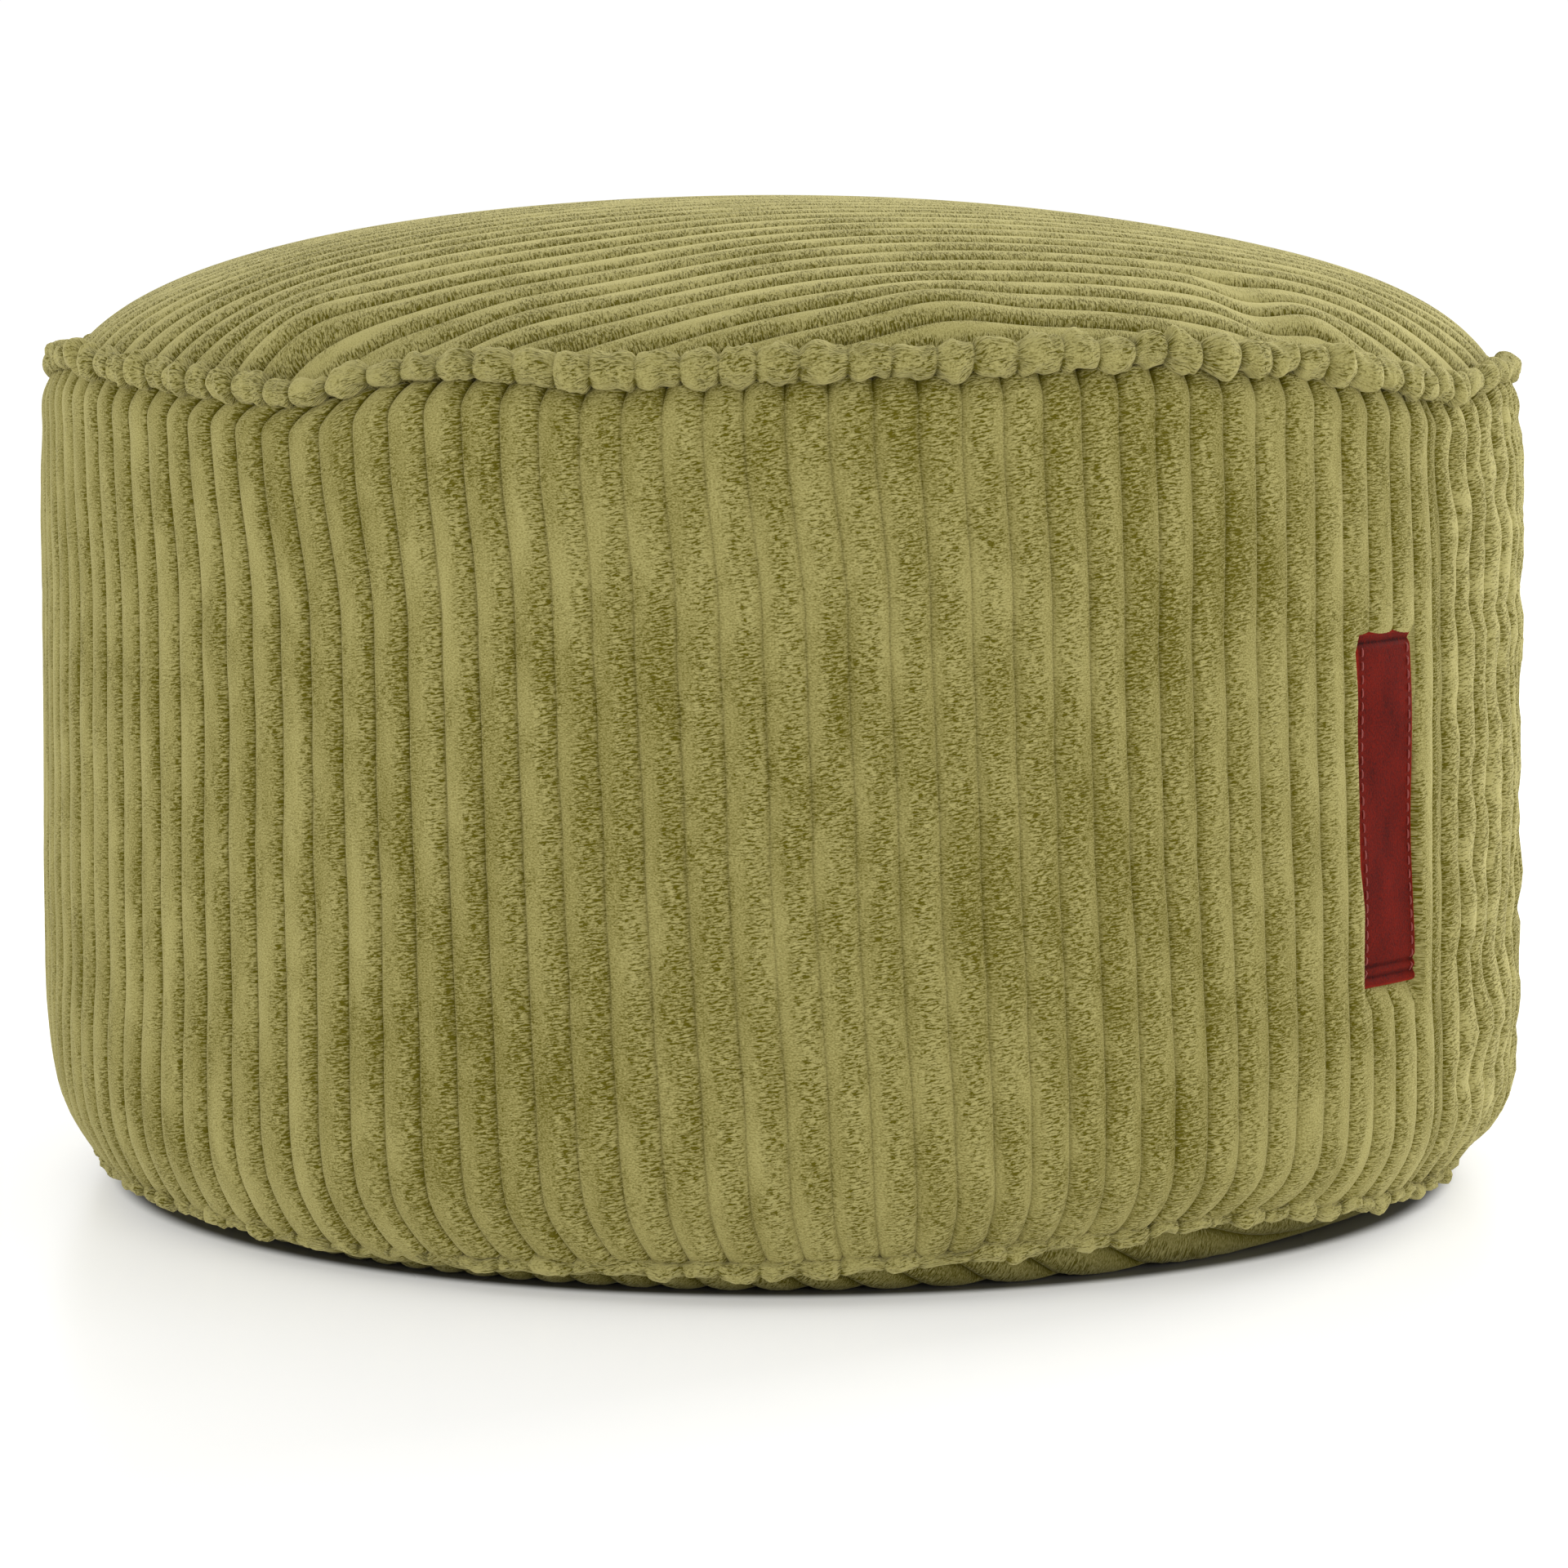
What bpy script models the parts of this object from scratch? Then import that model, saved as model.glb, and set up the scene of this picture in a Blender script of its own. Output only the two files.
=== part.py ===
"""Round bean bag footstool in wide-wale corduroy.

A ribbed side band carries a crowned top panel, a flat bottom panel and a sewn-on leather label.
Metres, +Z up. The origin is the centre of the resting face, the front is -Y, and an azimuth is
measured from the front towards +X. The band is one filled drum, whose turned-over top edge is a
row of beads round the recess that the top panel is sewn into.
"""

import math
from typing import NamedTuple

import bmesh
import bpy

# Driving dimensions.
RADIUS = 0.2509  # over the ribs of the side band
GAP = 0.0003  # between two pieces that are sewn together
RIB_COUNT = 133  # ribs round the side band
RIB_DEPTH = 0.0032
RIB_PHASES = (0.0, 0.3, 0.7)  # places of a rib's points, as shares of its pitch from the groove
RIB_ROUNDNESS = 4.0  # flat-topped rib with a narrow groove
FIRST_GROOVE_DEG = 0.6
BEAD_ROUNDNESS = 2.0
BEAD_DEPTH = 0.0026
BEAD_SHIFT = 0.5  # the beads sit half a rib to the left of the ribs
BOTTOM_SWEEP_DEG = 3.0  # ribs turn to the right as the band goes under
SWEEP_HEIGHT = 0.06
HOOK_HEIGHT = 0.03  # stretch below the stitch line in which the ribs hook to the right

TOP_RADIUS = 0.2385
RECESS_FLOOR = 0.258
CROWN_BASE = 0.2722  # height at which the crown's ellipse would end
CROWN_RISE = 0.0580
CROWN_REACH = 0.2415  # radius at which the crown's ellipse would end
EDGE_FOLLOW = 4.0  # power with which the crown takes up the wave of its seam
TOP_RIB_TURN_DEG = 15.0
TOP_COLUMNS = 12
CHORD_END = 0.0005  # how far inside the rim the outermost line of points lies

SEAM_RADIUS = 0.2170
SEAM_HEIGHT = 0.0075
FOOT_RADIUS = 0.2125
BOTTOM_RIB_DEPTH = 0.0015
BOTTOM_RIB_TURN_DEG = 50.0
BOTTOM_COLUMNS = 2 * RIB_COUNT

LABEL_AZIMUTH_DEG = 48.0  # where its middle line would meet the stitch line
LABEL_WIDTH = 0.030
LABEL_FOOT = 0.0859
LABEL_HEAD = 0.1972
LABEL_THICKNESS = 0.0020
LABEL_CELLS = (6, 8)  # across, up
POCKET_RADIUS = 0.2464  # of the flattened ribs under the label
POCKET_MARGIN = 0.0050

COLUMNS = RIB_COUNT * len(RIB_PHASES)
RIB_ANGLE = math.tau / RIB_COUNT
RIB_PITCH = RIB_ANGLE * RADIUS
MERGE = 1e-6  # joins a turned surface's points on the axis
CREASE_ANGLE_DEG = 50.0  # edges folded more than this are shaded sharp


class Finish(NamedTuple):
    """Look of a material: display colour, roughness and the sheen of its pile."""

    srgb: tuple[float, float, float]
    roughness: float
    sheen: float


class BandRow(NamedTuple):
    """One ring of points of the band, from the bottom seam up and over into the recess."""

    name: str
    radius: float
    height: float
    seam_share: float  # how much of the bottom seam's wave it takes up
    stitch_share: float  # how much of the stitch line's wave it takes up
    rib_share: float
    bead_share: float


class FootRing(NamedTuple):
    """One ring of points of the bottom panel's edge, from its seam down to the floor."""

    radius: float
    height: float
    seam_share: float


class Station(NamedTuple):
    """How the sewn edges and the ribs run at one azimuth."""

    azimuth_deg: float
    stitch_lift: float
    seam_lift: float
    lean_deg: float  # how far a rib moves to the right from the stitch line to the floor
    hook_deg: float  # how far its top end moves to the right
    foot_out: float  # how far the puckered bottom seam stands out


class Hollow(NamedTuple):
    """A soft dent in the crown."""

    azimuth_deg: float
    radius: float
    depth: float
    reach: float


CORDUROY = Finish((0.59, 0.56, 0.33), 0.95, 0.5)
LEATHER = Finish((0.42, 0.14, 0.12), 0.55, 0.0)

BAND_ROWS = (
    BandRow("bottom seam", SEAM_RADIUS, SEAM_HEIGHT, 1.0, 0.0, 0.35, 0.0),
    BandRow("under edge", 0.2335, 0.0095, 0.7, 0.0, 1.0, 0.0),
    BandRow("lower edge", 0.2463, 0.0260, 0.2, 0.0, 1.0, 0.0),
    BandRow("wall foot", RADIUS, 0.0600, 0.0, 0.0, 1.0, 0.0),
    BandRow("pocket foot", 0.2508, 0.0810, 0.0, 0.0, 1.0, 0.0),
    BandRow("pocket head", 0.2497, 0.2020, 0.0, 0.0, 1.0, 0.0),
    BandRow("wall head", 0.2494, 0.2180, 0.0, 0.2, 1.0, 0.0),
    BandRow("under stitch", 0.2478, 0.2610, 0.0, 0.8, 1.0, 0.0),
    BandRow("stitch line", 0.2456, 0.2745, 0.0, 1.0, 0.6, 0.0),
    BandRow("bead face", 0.2492, 0.2795, 0.0, 1.0, 0.0, 1.0),
    BandRow("bead top", 0.2452, 0.2858, 0.0, 1.0, 0.0, 1.0),
    BandRow("bead back", 0.2412, 0.2810, 0.0, 1.0, 0.0, 0.3),
    BandRow("recess", TOP_RADIUS + GAP, RECESS_FLOOR, 0.0, 0.0, 0.0, 0.0),
)
POCKET_ROWS = ("pocket foot", "pocket head")
STITCH_HEIGHT = next(row.height for row in BAND_ROWS if row.name == "stitch line")

FOOT_RINGS = (
    FootRing(SEAM_RADIUS - GAP, SEAM_HEIGHT - GAP, 1.0),
    FootRing(SEAM_RADIUS, SEAM_HEIGHT / 2, 0.5),
    FootRing(FOOT_RADIUS, 0.0, 0.0),
)

STATIONS = (
    Station(-110.0, 0.0010, -0.0020, 0.8, 0.0, 0.0),
    Station(-82.0, -0.0036, -0.0035, 1.2, 0.0, 0.0020),
    Station(-68.0, -0.0006, -0.0040, 1.5, 0.0, 0.0010),
    Station(-54.0, -0.0036, -0.0042, 1.8, 0.6, 0.0),
    Station(-36.0, -0.0078, -0.0040, 1.8, 2.4, 0.0),
    Station(-23.0, 0.0014, -0.0020, 1.5, 1.4, 0.0),
    Station(-12.0, 0.0000, -0.0005, 1.0, 0.0, 0.0),
    Station(2.0, 0.0028, 0.0003, 0.4, 0.0, 0.0),
    Station(25.0, 0.0054, 0.0046, 0.0, 0.0, 0.0),
    Station(38.0, 0.0022, 0.0070, 0.4, 0.0, 0.0),
    Station(58.0, -0.0088, 0.0005, 1.2, 0.0, 0.0030),
    Station(72.0, 0.0002, -0.0028, 0.8, 0.0, 0.0085),
    Station(96.0, -0.0020, -0.0020, 0.0, 0.0, 0.0040),
    Station(128.0, 0.0025, 0.0015, 0.5, -0.8, 0.0),
    Station(160.0, -0.0030, 0.0005, 1.0, 0.0, 0.0),
    Station(196.0, 0.0030, -0.0010, 0.4, 0.8, 0.0),
    Station(226.0, -0.0020, 0.0010, 0.2, 0.0, 0.0),
)

HOLLOWS = (
    Hollow(42.0, 0.200, 0.0040, 0.028),
    Hollow(78.0, 0.215, 0.0045, 0.060),
    Hollow(-34.0, 0.205, 0.0030, 0.030),
    Hollow(150.0, 0.190, 0.0030, 0.035),
)

LABEL_AZIMUTH = math.radians(LABEL_AZIMUTH_DEG)


def smooth(share):
    """Share of 0 to 1, eased at both ends."""
    share = min(max(share, 0.0), 1.0)
    return share * share * (3.0 - 2.0 * share)


def ridge(phase, roundness):
    """Height of a rib or bead, 0 in its groove and 1 on its crest, at a phase counted in ribs."""
    from_crest = abs(2.0 * (phase % 1.0) - 1.0)
    return 1.0 - from_crest**roundness


def around(azimuth, field):
    """One column of STATIONS at an azimuth, eased from each station to the next."""
    first = STATIONS[0].azimuth_deg
    degrees = (math.degrees(azimuth) - first) % 360.0 + first
    following = STATIONS[1:] + (STATIONS[0]._replace(azimuth_deg=first + 360.0),)
    start, end = next(
        pair for pair in zip(STATIONS, following) if degrees <= pair[1].azimuth_deg
    )
    share = smooth((degrees - start.azimuth_deg) / (end.azimuth_deg - start.azimuth_deg))
    low = getattr(start, field)
    return low + share * (getattr(end, field) - low)


def rib_azimuth(azimuth, height):
    """Where the rib that starts at this azimuth runs at a height: it leans, sweeps and hooks."""
    lean = around(azimuth, "lean_deg") * (1.0 - height / STITCH_HEIGHT)
    sweep = BOTTOM_SWEEP_DEG * smooth(1.0 - height / SWEEP_HEIGHT)
    hook = around(azimuth, "hook_deg") * smooth(1.0 - (STITCH_HEIGHT - height) / HOOK_HEIGHT)
    return azimuth + math.radians(lean + sweep + hook)


def on_circle(radius, azimuth, height):
    return (radius * math.sin(azimuth), -radius * math.cos(azimuth), height)


def in_pocket(row, azimuth):
    """Whether a point of this row is one of the flattened ones round the label."""
    across = abs(azimuth - LABEL_AZIMUTH) * RADIUS
    return row.name in POCKET_ROWS and across < LABEL_WIDTH / 2 + POCKET_MARGIN


def linear(srgb):
    """Linear RGBA from display RGB."""
    channels = [c / 12.92 if c <= 0.04045 else ((c + 0.055) / 1.055) ** 2.4 for c in srgb]
    return (*channels, 1.0)


def cloth_material(name, finish):
    material = bpy.data.materials.new(name)
    material.use_nodes = True
    shader = material.node_tree.nodes["Principled BSDF"]
    shader.inputs["Base Color"].default_value = linear(finish.srgb)
    shader.inputs["Roughness"].default_value = finish.roughness
    shader.inputs["Metallic"].default_value = 0.0
    shader.inputs["Sheen Weight"].default_value = finish.sheen
    material.diffuse_color = linear(finish.srgb)
    return material


def add_piece(name, shape, material, collection):
    """Object from a bmesh, smooth but for its folds."""
    bmesh.ops.recalc_face_normals(shape, faces=shape.faces)
    mesh = bpy.data.meshes.new(name)
    shape.to_mesh(mesh)
    shape.free()
    mesh.materials.append(material)
    mesh.shade_smooth()
    mesh.set_sharp_from_angle(angle=math.radians(CREASE_ANGLE_DEG))
    piece = bpy.data.objects.new(name, mesh)
    collection.objects.link(piece)
    return piece


def turned(profile, columns):
    """Closed surface turned from a (radius, height) profile that starts and ends on the axis.

    Each point keeps the number of its profile row in the layer "row".
    """
    shape = bmesh.new()
    row_of = shape.verts.layers.int.new("row")
    line = []
    for index, (radius, height) in enumerate(profile):
        point = shape.verts.new((0.0, -radius, height))
        point[row_of] = index
        line.append(point)
    edges = [shape.edges.new(pair) for pair in zip(line, line[1:])]
    bmesh.ops.spin(
        shape,
        geom=line + edges,
        cent=(0.0, 0.0, 0.0),
        axis=(0.0, 0.0, 1.0),
        angle=math.tau,
        steps=columns,
        use_merge=True,
    )
    bmesh.ops.remove_doubles(shape, verts=shape.verts, dist=MERGE)
    return shape, row_of


def column_of(point, columns):
    """Number of the spun column that a point lies on."""
    azimuth = math.atan2(point.co.x, -point.co.y)
    return round(azimuth / math.tau * columns) % columns


def band_point(row, column):
    """Place of one point of the band: on a rib, on a bead or in the label's pocket."""
    rib, step = divmod(column, len(RIB_PHASES))
    phase = rib + RIB_PHASES[step]
    start = math.radians(FIRST_GROOVE_DEG) + phase * RIB_ANGLE
    start = (start + math.pi) % math.tau - math.pi
    azimuth = rib_azimuth(start, row.height)
    groove = RIB_DEPTH * row.rib_share * (1.0 - ridge(phase, RIB_ROUNDNESS))
    dip = BEAD_DEPTH * row.bead_share * (1.0 - ridge(phase + BEAD_SHIFT, BEAD_ROUNDNESS))
    seam_lift = row.seam_share * around(azimuth, "seam_lift")
    stitch_lift = row.stitch_share * around(azimuth, "stitch_lift")
    foot_out = row.seam_share * around(azimuth, "foot_out")
    radius = POCKET_RADIUS if in_pocket(row, start) else row.radius + foot_out - groove - dip
    return on_circle(radius, azimuth, row.height + seam_lift + stitch_lift - dip)


def build_side_band():
    """Filled drum: ribbed wall, beads along the top edge, and a flat recess inside them."""
    rings = [(row.radius, row.height) for row in BAND_ROWS]
    profile = [(0.0, SEAM_HEIGHT), *rings, (0.0, RECESS_FLOOR)]
    shape, row_of = turned(profile, COLUMNS)
    for point in shape.verts:
        index = point[row_of] - 1
        if 0 <= index < len(BAND_ROWS):
            point.co = band_point(BAND_ROWS[index], column_of(point, COLUMNS))
    return shape


def crown_height(x, y):
    """Height of the top panel's cloth, without its ribs."""
    radius = math.hypot(x, y)
    azimuth = math.atan2(x, -y)
    dome = CROWN_RISE * math.sqrt(1.0 - (radius / CROWN_REACH) ** 2)
    wave = around(azimuth, "stitch_lift") * (radius / TOP_RADIUS) ** EDGE_FOLLOW
    dents = 0.0
    for hollow in HOLLOWS:
        place = on_circle(hollow.radius, math.radians(hollow.azimuth_deg), 0.0)
        away = math.hypot(x - place[0], y - place[1]) / hollow.reach
        dents += hollow.depth * math.exp(-away * away)
    return CROWN_BASE + dome + wave - dents


def top_lines():
    """(offset, groove depth) of each line of points that runs along the top panel's ribs."""
    most = TOP_RADIUS - CHORD_END
    ribs = math.ceil(most / RIB_PITCH)
    lines = [(-most, 0.0)]
    for rib in range(-ribs, ribs):
        for phase in RIB_PHASES:
            offset = (rib + phase) * RIB_PITCH
            if abs(offset) < most - CHORD_END:
                lines.append((offset, RIB_DEPTH * (1.0 - ridge(phase, RIB_ROUNDNESS))))
    return lines + [(most, 0.0)]


def build_top_panel():
    """Filled crown: a grid whose lines are the chords that its ribs follow, closed flat below."""
    lines = top_lines()
    turn = math.radians(TOP_RIB_TURN_DEG)
    shape = bmesh.new()
    bmesh.ops.create_grid(shape, x_segments=TOP_COLUMNS, y_segments=len(lines) - 1, size=1.0)
    for point in shape.verts:
        offset, groove = lines[round((point.co.y + 1.0) / 2.0 * (len(lines) - 1))]
        chord = math.sqrt(TOP_RADIUS**2 - offset**2)
        along = chord * math.sin(point.co.x * math.pi / 2)
        x = along * math.cos(turn) - offset * math.sin(turn)
        y = along * math.sin(turn) + offset * math.cos(turn)
        point.co = (x, y, crown_height(x, y) - groove)
    rim = [edge for edge in shape.edges if edge.is_boundary]
    wall = bmesh.ops.extrude_edge_only(shape, edges=rim)["geom"]
    for point in wall:
        if isinstance(point, bmesh.types.BMVert):
            point.co.z = RECESS_FLOOR + GAP
    base = bmesh.ops.contextual_create(shape, geom=[e for e in shape.edges if e.is_boundary])
    bmesh.ops.poke(shape, faces=base["faces"])
    return shape


def foot_point(ring, column):
    """Place of one point of the bottom panel's edge, whose ribs run slantwise under the seam."""
    azimuth = column / BOTTOM_COLUMNS * math.tau
    turn = math.radians(BOTTOM_RIB_TURN_DEG)
    x, y, _ = on_circle(ring.radius, azimuth, ring.height)
    phase = (y * math.cos(turn) - x * math.sin(turn)) / RIB_PITCH
    groove = BOTTOM_RIB_DEPTH * (1.0 - ridge(phase, BEAD_ROUNDNESS))
    radius = ring.radius + around(azimuth, "foot_out") - groove
    return on_circle(radius, azimuth, ring.height + ring.seam_share * around(azimuth, "seam_lift"))


def build_bottom_panel():
    """Filled disc: its top is sewn to the band, and its flat underside stands on the floor."""
    rings = [(ring.radius, ring.height) for ring in FOOT_RINGS]
    profile = [(0.0, SEAM_HEIGHT - GAP), *rings, (0.0, 0.0)]
    shape, row_of = turned(profile, BOTTOM_COLUMNS)
    for point in shape.verts:
        index = point[row_of] - 1
        if 0 <= index < len(FOOT_RINGS):
            point.co = foot_point(FOOT_RINGS[index], column_of(point, BOTTOM_COLUMNS))
    return shape


def build_label():
    """Leather patch bent round the band: an open sheet, to be given its thickness outwards."""
    shape = bmesh.new()
    across, up = LABEL_CELLS
    bmesh.ops.create_grid(shape, x_segments=across, y_segments=up, size=1.0)
    for point in shape.verts:
        height = LABEL_FOOT + (point.co.y + 1.0) / 2.0 * (LABEL_HEAD - LABEL_FOOT)
        middle = rib_azimuth(LABEL_AZIMUTH, height)
        azimuth = middle + point.co.x * LABEL_WIDTH / 2 / RADIUS
        point.co = on_circle(POCKET_RADIUS + GAP, azimuth, height)
    return shape


def thicken(piece, thickness):
    """Gives a sheet its thickness on the side that its faces look towards."""
    solid = piece.modifiers.new("thickness", "SOLIDIFY")
    solid.thickness = thickness
    solid.offset = 1.0


def build_all():
    for old in list(bpy.data.objects):
        bpy.data.objects.remove(old)
    collection = bpy.data.collections.new("bean_bag_footstool")
    bpy.context.scene.collection.children.link(collection)
    for name, build in (
        ("side_band", build_side_band),
        ("top_panel", build_top_panel),
        ("bottom_panel", build_bottom_panel),
    ):
        add_piece(name, build(), cloth_material(f"{name}_corduroy", CORDUROY), collection)
    label = add_piece("label", build_label(), cloth_material("label_leather", LEATHER), collection)
    thicken(label, LABEL_THICKNESS)


if __name__ == "__main__":
    build_all()
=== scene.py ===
"""Round bean bag footstool in wide-wale corduroy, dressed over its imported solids.

Metres, +Z up, the front is -Y and an azimuth is measured from the front towards +X. A ribbed band
runs round the filling, its turned-over top edge stands up as a row of beads, a crowned panel closes
the top, a flat one the bottom, and a plain leather label is sewn to the front right.
"""

import logging
import math
from dataclasses import astuple, dataclass, field
from enum import Enum

import bpy
import numpy as np
from bpy.types import ID, Material, Mesh, Node, NodeSocket, NodeTree, Object
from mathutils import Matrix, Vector


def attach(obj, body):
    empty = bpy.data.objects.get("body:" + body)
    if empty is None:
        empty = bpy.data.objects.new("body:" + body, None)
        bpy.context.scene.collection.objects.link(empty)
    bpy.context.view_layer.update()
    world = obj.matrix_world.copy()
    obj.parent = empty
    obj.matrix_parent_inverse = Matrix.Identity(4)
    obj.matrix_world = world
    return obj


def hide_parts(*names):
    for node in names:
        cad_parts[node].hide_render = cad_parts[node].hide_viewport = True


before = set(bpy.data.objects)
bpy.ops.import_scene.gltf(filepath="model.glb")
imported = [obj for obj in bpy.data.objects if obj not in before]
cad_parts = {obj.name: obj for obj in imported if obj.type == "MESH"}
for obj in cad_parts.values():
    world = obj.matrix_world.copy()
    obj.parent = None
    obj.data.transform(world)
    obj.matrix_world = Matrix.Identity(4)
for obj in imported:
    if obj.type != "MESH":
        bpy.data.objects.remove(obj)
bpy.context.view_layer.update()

Array = np.ndarray
Triple = tuple[float, float, float]

LOG = logging.getLogger("footstool")
BODY = "root"
CLOTH_MAP = "cloth"  # UV map: metres on the flat cloth, across the ribs and along them

RADIUS = 0.2509  # over the ribs of the band
RIB_COUNT = 133
RIB_ANGLE = math.tau / RIB_COUNT
RIB_PITCH = RIB_ANGLE * RADIUS
FIRST_GROOVE = math.radians(0.6)
SHOULDER = (0.262, 0.200)  # heights between which the ribs first step sideways
WALL = (0.200, 0.035)  # heights between which they lean
TOE_HEIGHT = 0.085  # below this the ribs at both sides splay out
SWEEP_HEIGHT = 0.034  # below this the ribs swing sideways towards the bottom seam
HOOK_TOP = 0.2758  # where the rib ends meet the beads
HOOK_HEIGHT = 0.010  # the ribs hook sideways in a quarter circle of this height
CRUMPLED = (53.0, 61.0, 103.0, 128.0)  # degrees: crumples set in, are full, fade, are gone


class Line(Enum):
    """What a station says about the drum at its azimuth."""

    STITCH_LIFT = "stitch_lift"
    SEAM_LIFT = "seam_lift"
    DRIFT = "drift_deg"
    SHOULDER = "shoulder_deg"
    LEAN = "lean_deg"
    TOE = "toe_deg"
    HOOK = "hook_deg"
    SWEEP = "sweep_deg"
    FOOT_OUT = "foot_out"


class Mark(Enum):
    """Attribute of a cloth mesh that its material reads."""

    CREST = "crest"  # 0 in a groove, 1 on the crest of a rib
    RUFFLED = "ruffled"  # 0 where the nap lies smooth, 1 where it stands up in crinkles
    SHADE_AND_WEAR = "wear"  # how much darker the pile is painted (painted shade), or how much paler the leather is worn, less painted shade in its creases


@dataclass(frozen=True)
class Station:
    """How the sewn edges and the ribs run at one azimuth."""

    azimuth_deg: float
    stitch_lift: float
    seam_lift: float
    drift_deg: float
    shoulder_deg: float
    lean_deg: float
    toe_deg: float
    hook_deg: float
    sweep_deg: float
    foot_out: float


@dataclass(frozen=True)
class Hollow:
    """A soft dent in the crown, or a swelling where its depth is negative."""

    azimuth_deg: float
    radius: float
    depth: float
    reach: float


# One row for each azimuth, in the order of Station's fields.
STATIONS = tuple(
    Station(*row)
    for row in (
        (-110, -0.001, -0.002, 0.4, 1.2, 0.2, 0, 0, 3, 0),
        (-82, -0.0042, -0.0008, 0.5, 1.8, 0.2, -3.6, 0, 0, -0.0008),
        (-68, -0.0004, -0.0008, 0.6, 1.9, 0.3, -4, 0, -1, -0.0016),
        (-54, -0.0036, -0.001, 0.8, 1.7, 0.3, -2.8, 0.8, 0, -0.0014),
        (-42, -0.0067, -0.0018, 0.5, 1.9, 0.9, -1.5, 2.2, 2.2, -0.0006),
        (-36, -0.0078, -0.0024, 0.4, 2, 1.1, -1.3, 2.3, 4, -0.0002),
        (-29, -0.0016, -0.0022, 0.9, 1.6, 1.3, -0.9, 1.7, 5, 0),
        (-23, 0.0014, -0.002, 1.2, 1.4, 1.5, -0.3, 1, 5, 0),
        (-12, 0, -0.0005, 1.9, 1.1, 1.8, 0, 0.4, 3, 0),
        (2, 0.0028, 0.0003, 2.5, 1.3, 1.9, 0, 0, 1.5, 0),
        (9, 0.0034, 0.0012, 3.2, 0.9, 2.1, 0, 0, -1, 0),
        (16, 0.0045, 0.0031, 3.9, 0.6, 1.8, 0, 0, -1.5, 0),
        (25, 0.0054, 0.0046, 4.35, 0.3, 1.9, 0, 0, -2, 0),
        (33, 0.0034, 0.0062, 4.7, 0, 1.9, 0, 0, -5, 0),
        (38, 0.0022, 0.0064, 4.9, 0, 1.7, 0.2, 0, -6, 0),
        (48, -0.0033, 0.0026, 5.4, 0.3, 0.3, 2.6, 0, -4, 0),
        (58, -0.0088, -0.0002, 5.2, 0.9, 0.4, 4.4, 0, 2, -0.003),
        (72, -0.0048, -0.0028, 5.2, 1.2, 0.2, 5.2, 0, 3.5, -0.0052),
        (96, -0.01, -0.002, 5, 0.5, 0.3, 2.5, 0, 3.5, -0.0036),
        (128, 0.001, 0.0015, 4.2, 0.8, 0.8, 0, -0.8, 4, 0),
        (160, -0.003, 0.0005, 3.3, 1, 0.6, 0, 0, 3, 0),
        (196, 0.003, -0.001, 2.2, 0.4, 1, 0, 0.8, -3, 0),
        (226, -0.002, 0.001, 1.2, 0.8, 0.5, 0, 0, -4, 0),
    )
)

HOLLOWS = tuple(
    Hollow(*row)
    for row in (
        (-18, 0.19, 0.0046, 0.055),  # the broad sag behind the front beads
        (-27, 0.228, 0.003, 0.02),
        (12, 0.226, -0.004, 0.022),
        (-40, 0.232, -0.006, 0.024),
        (57, 0.22, -0.0028, 0.035),
        (40.5, 0.224, 0.0034, 0.012),  # the short valley at the front right
        (43.5, 0.206, 0.0028, 0.012),
        (46, 0.231, -0.0032, 0.013),
        (98, 0.165, 0.0022, 0.08),
        (110, 0.205, 0.0026, 0.028),
        (150, 0.19, 0.0032, 0.04),
        (205, 0.215, 0.0034, 0.026),
        (-75, 0.205, 0.001, 0.04),
        (-120, 0.218, 0.0026, 0.022),
    )
)


def linear(srgb: Triple) -> tuple[float, float, float, float]:
    """Linear RGBA, as Blender's sockets take it, of a display colour of 0 to 1."""
    channels = [c / 12.92 if c <= 0.04045 else ((c + 0.055) / 1.055) ** 2.4 for c in srgb]
    return (*channels, 1.0)


def smooth(share: Array) -> Array:
    """Eased share, 3s^2 - 2s^3, held between 0 and 1."""
    share = np.clip(share, 0.0, 1.0)
    return share * share * (3.0 - 2.0 * share)


def eased(value: Array, start: float, end: float) -> Array:
    """0 up to a start and 1 from an end on, eased between them. The end may be the lower one."""
    return smooth((value - start) / (end - start))


def between(value: Array, *edges: float) -> Array:
    """0 outside the outer two of four rising edges and 1 between the inner two, eased."""
    low, full_from, full_to, high = edges
    return eased(value, low, full_from) * eased(value, high, full_to)


def on_circle(radius: Array, azimuth: Array, height: Array) -> Array:
    """Points at (r sin a, -r cos a, z), with the coordinates on the last axis."""
    radius, azimuth, height = np.broadcast_arrays(radius, azimuth, height)
    return np.stack([radius * np.sin(azimuth), -radius * np.cos(azimuth), height], axis=-1)


def hermite(places: Array, values: Array, at: Array) -> Array:
    """Smooth curve through values.

    Args:
        places: Where the values lie, rising.
        values: The values, or rows of them.
        at: Where to read the curve.

    Returns:
        Cubic Hermite pieces h00 v0 + h10 L m0 + h01 v1 + h11 L m1 of length L, whose slopes m are
        those from neighbour to neighbour.
    """
    slopes = np.gradient(values, places, axis=0)
    start = np.clip(np.searchsorted(places, at, side="right") - 1, 0, len(places) - 2)
    length = places[start + 1] - places[start]
    t = (at - places[start]) / length
    if values.ndim == 2:
        t, length = t[..., None], length[..., None]
    return (
        (2 * t**3 - 3 * t**2 + 1) * values[start]
        + (t**3 - 2 * t**2 + t) * length * slopes[start]
        + (3 * t**2 - 2 * t**3) * values[start + 1]
        + (t**3 - t**2) * length * slopes[start + 1]
    )


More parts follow.
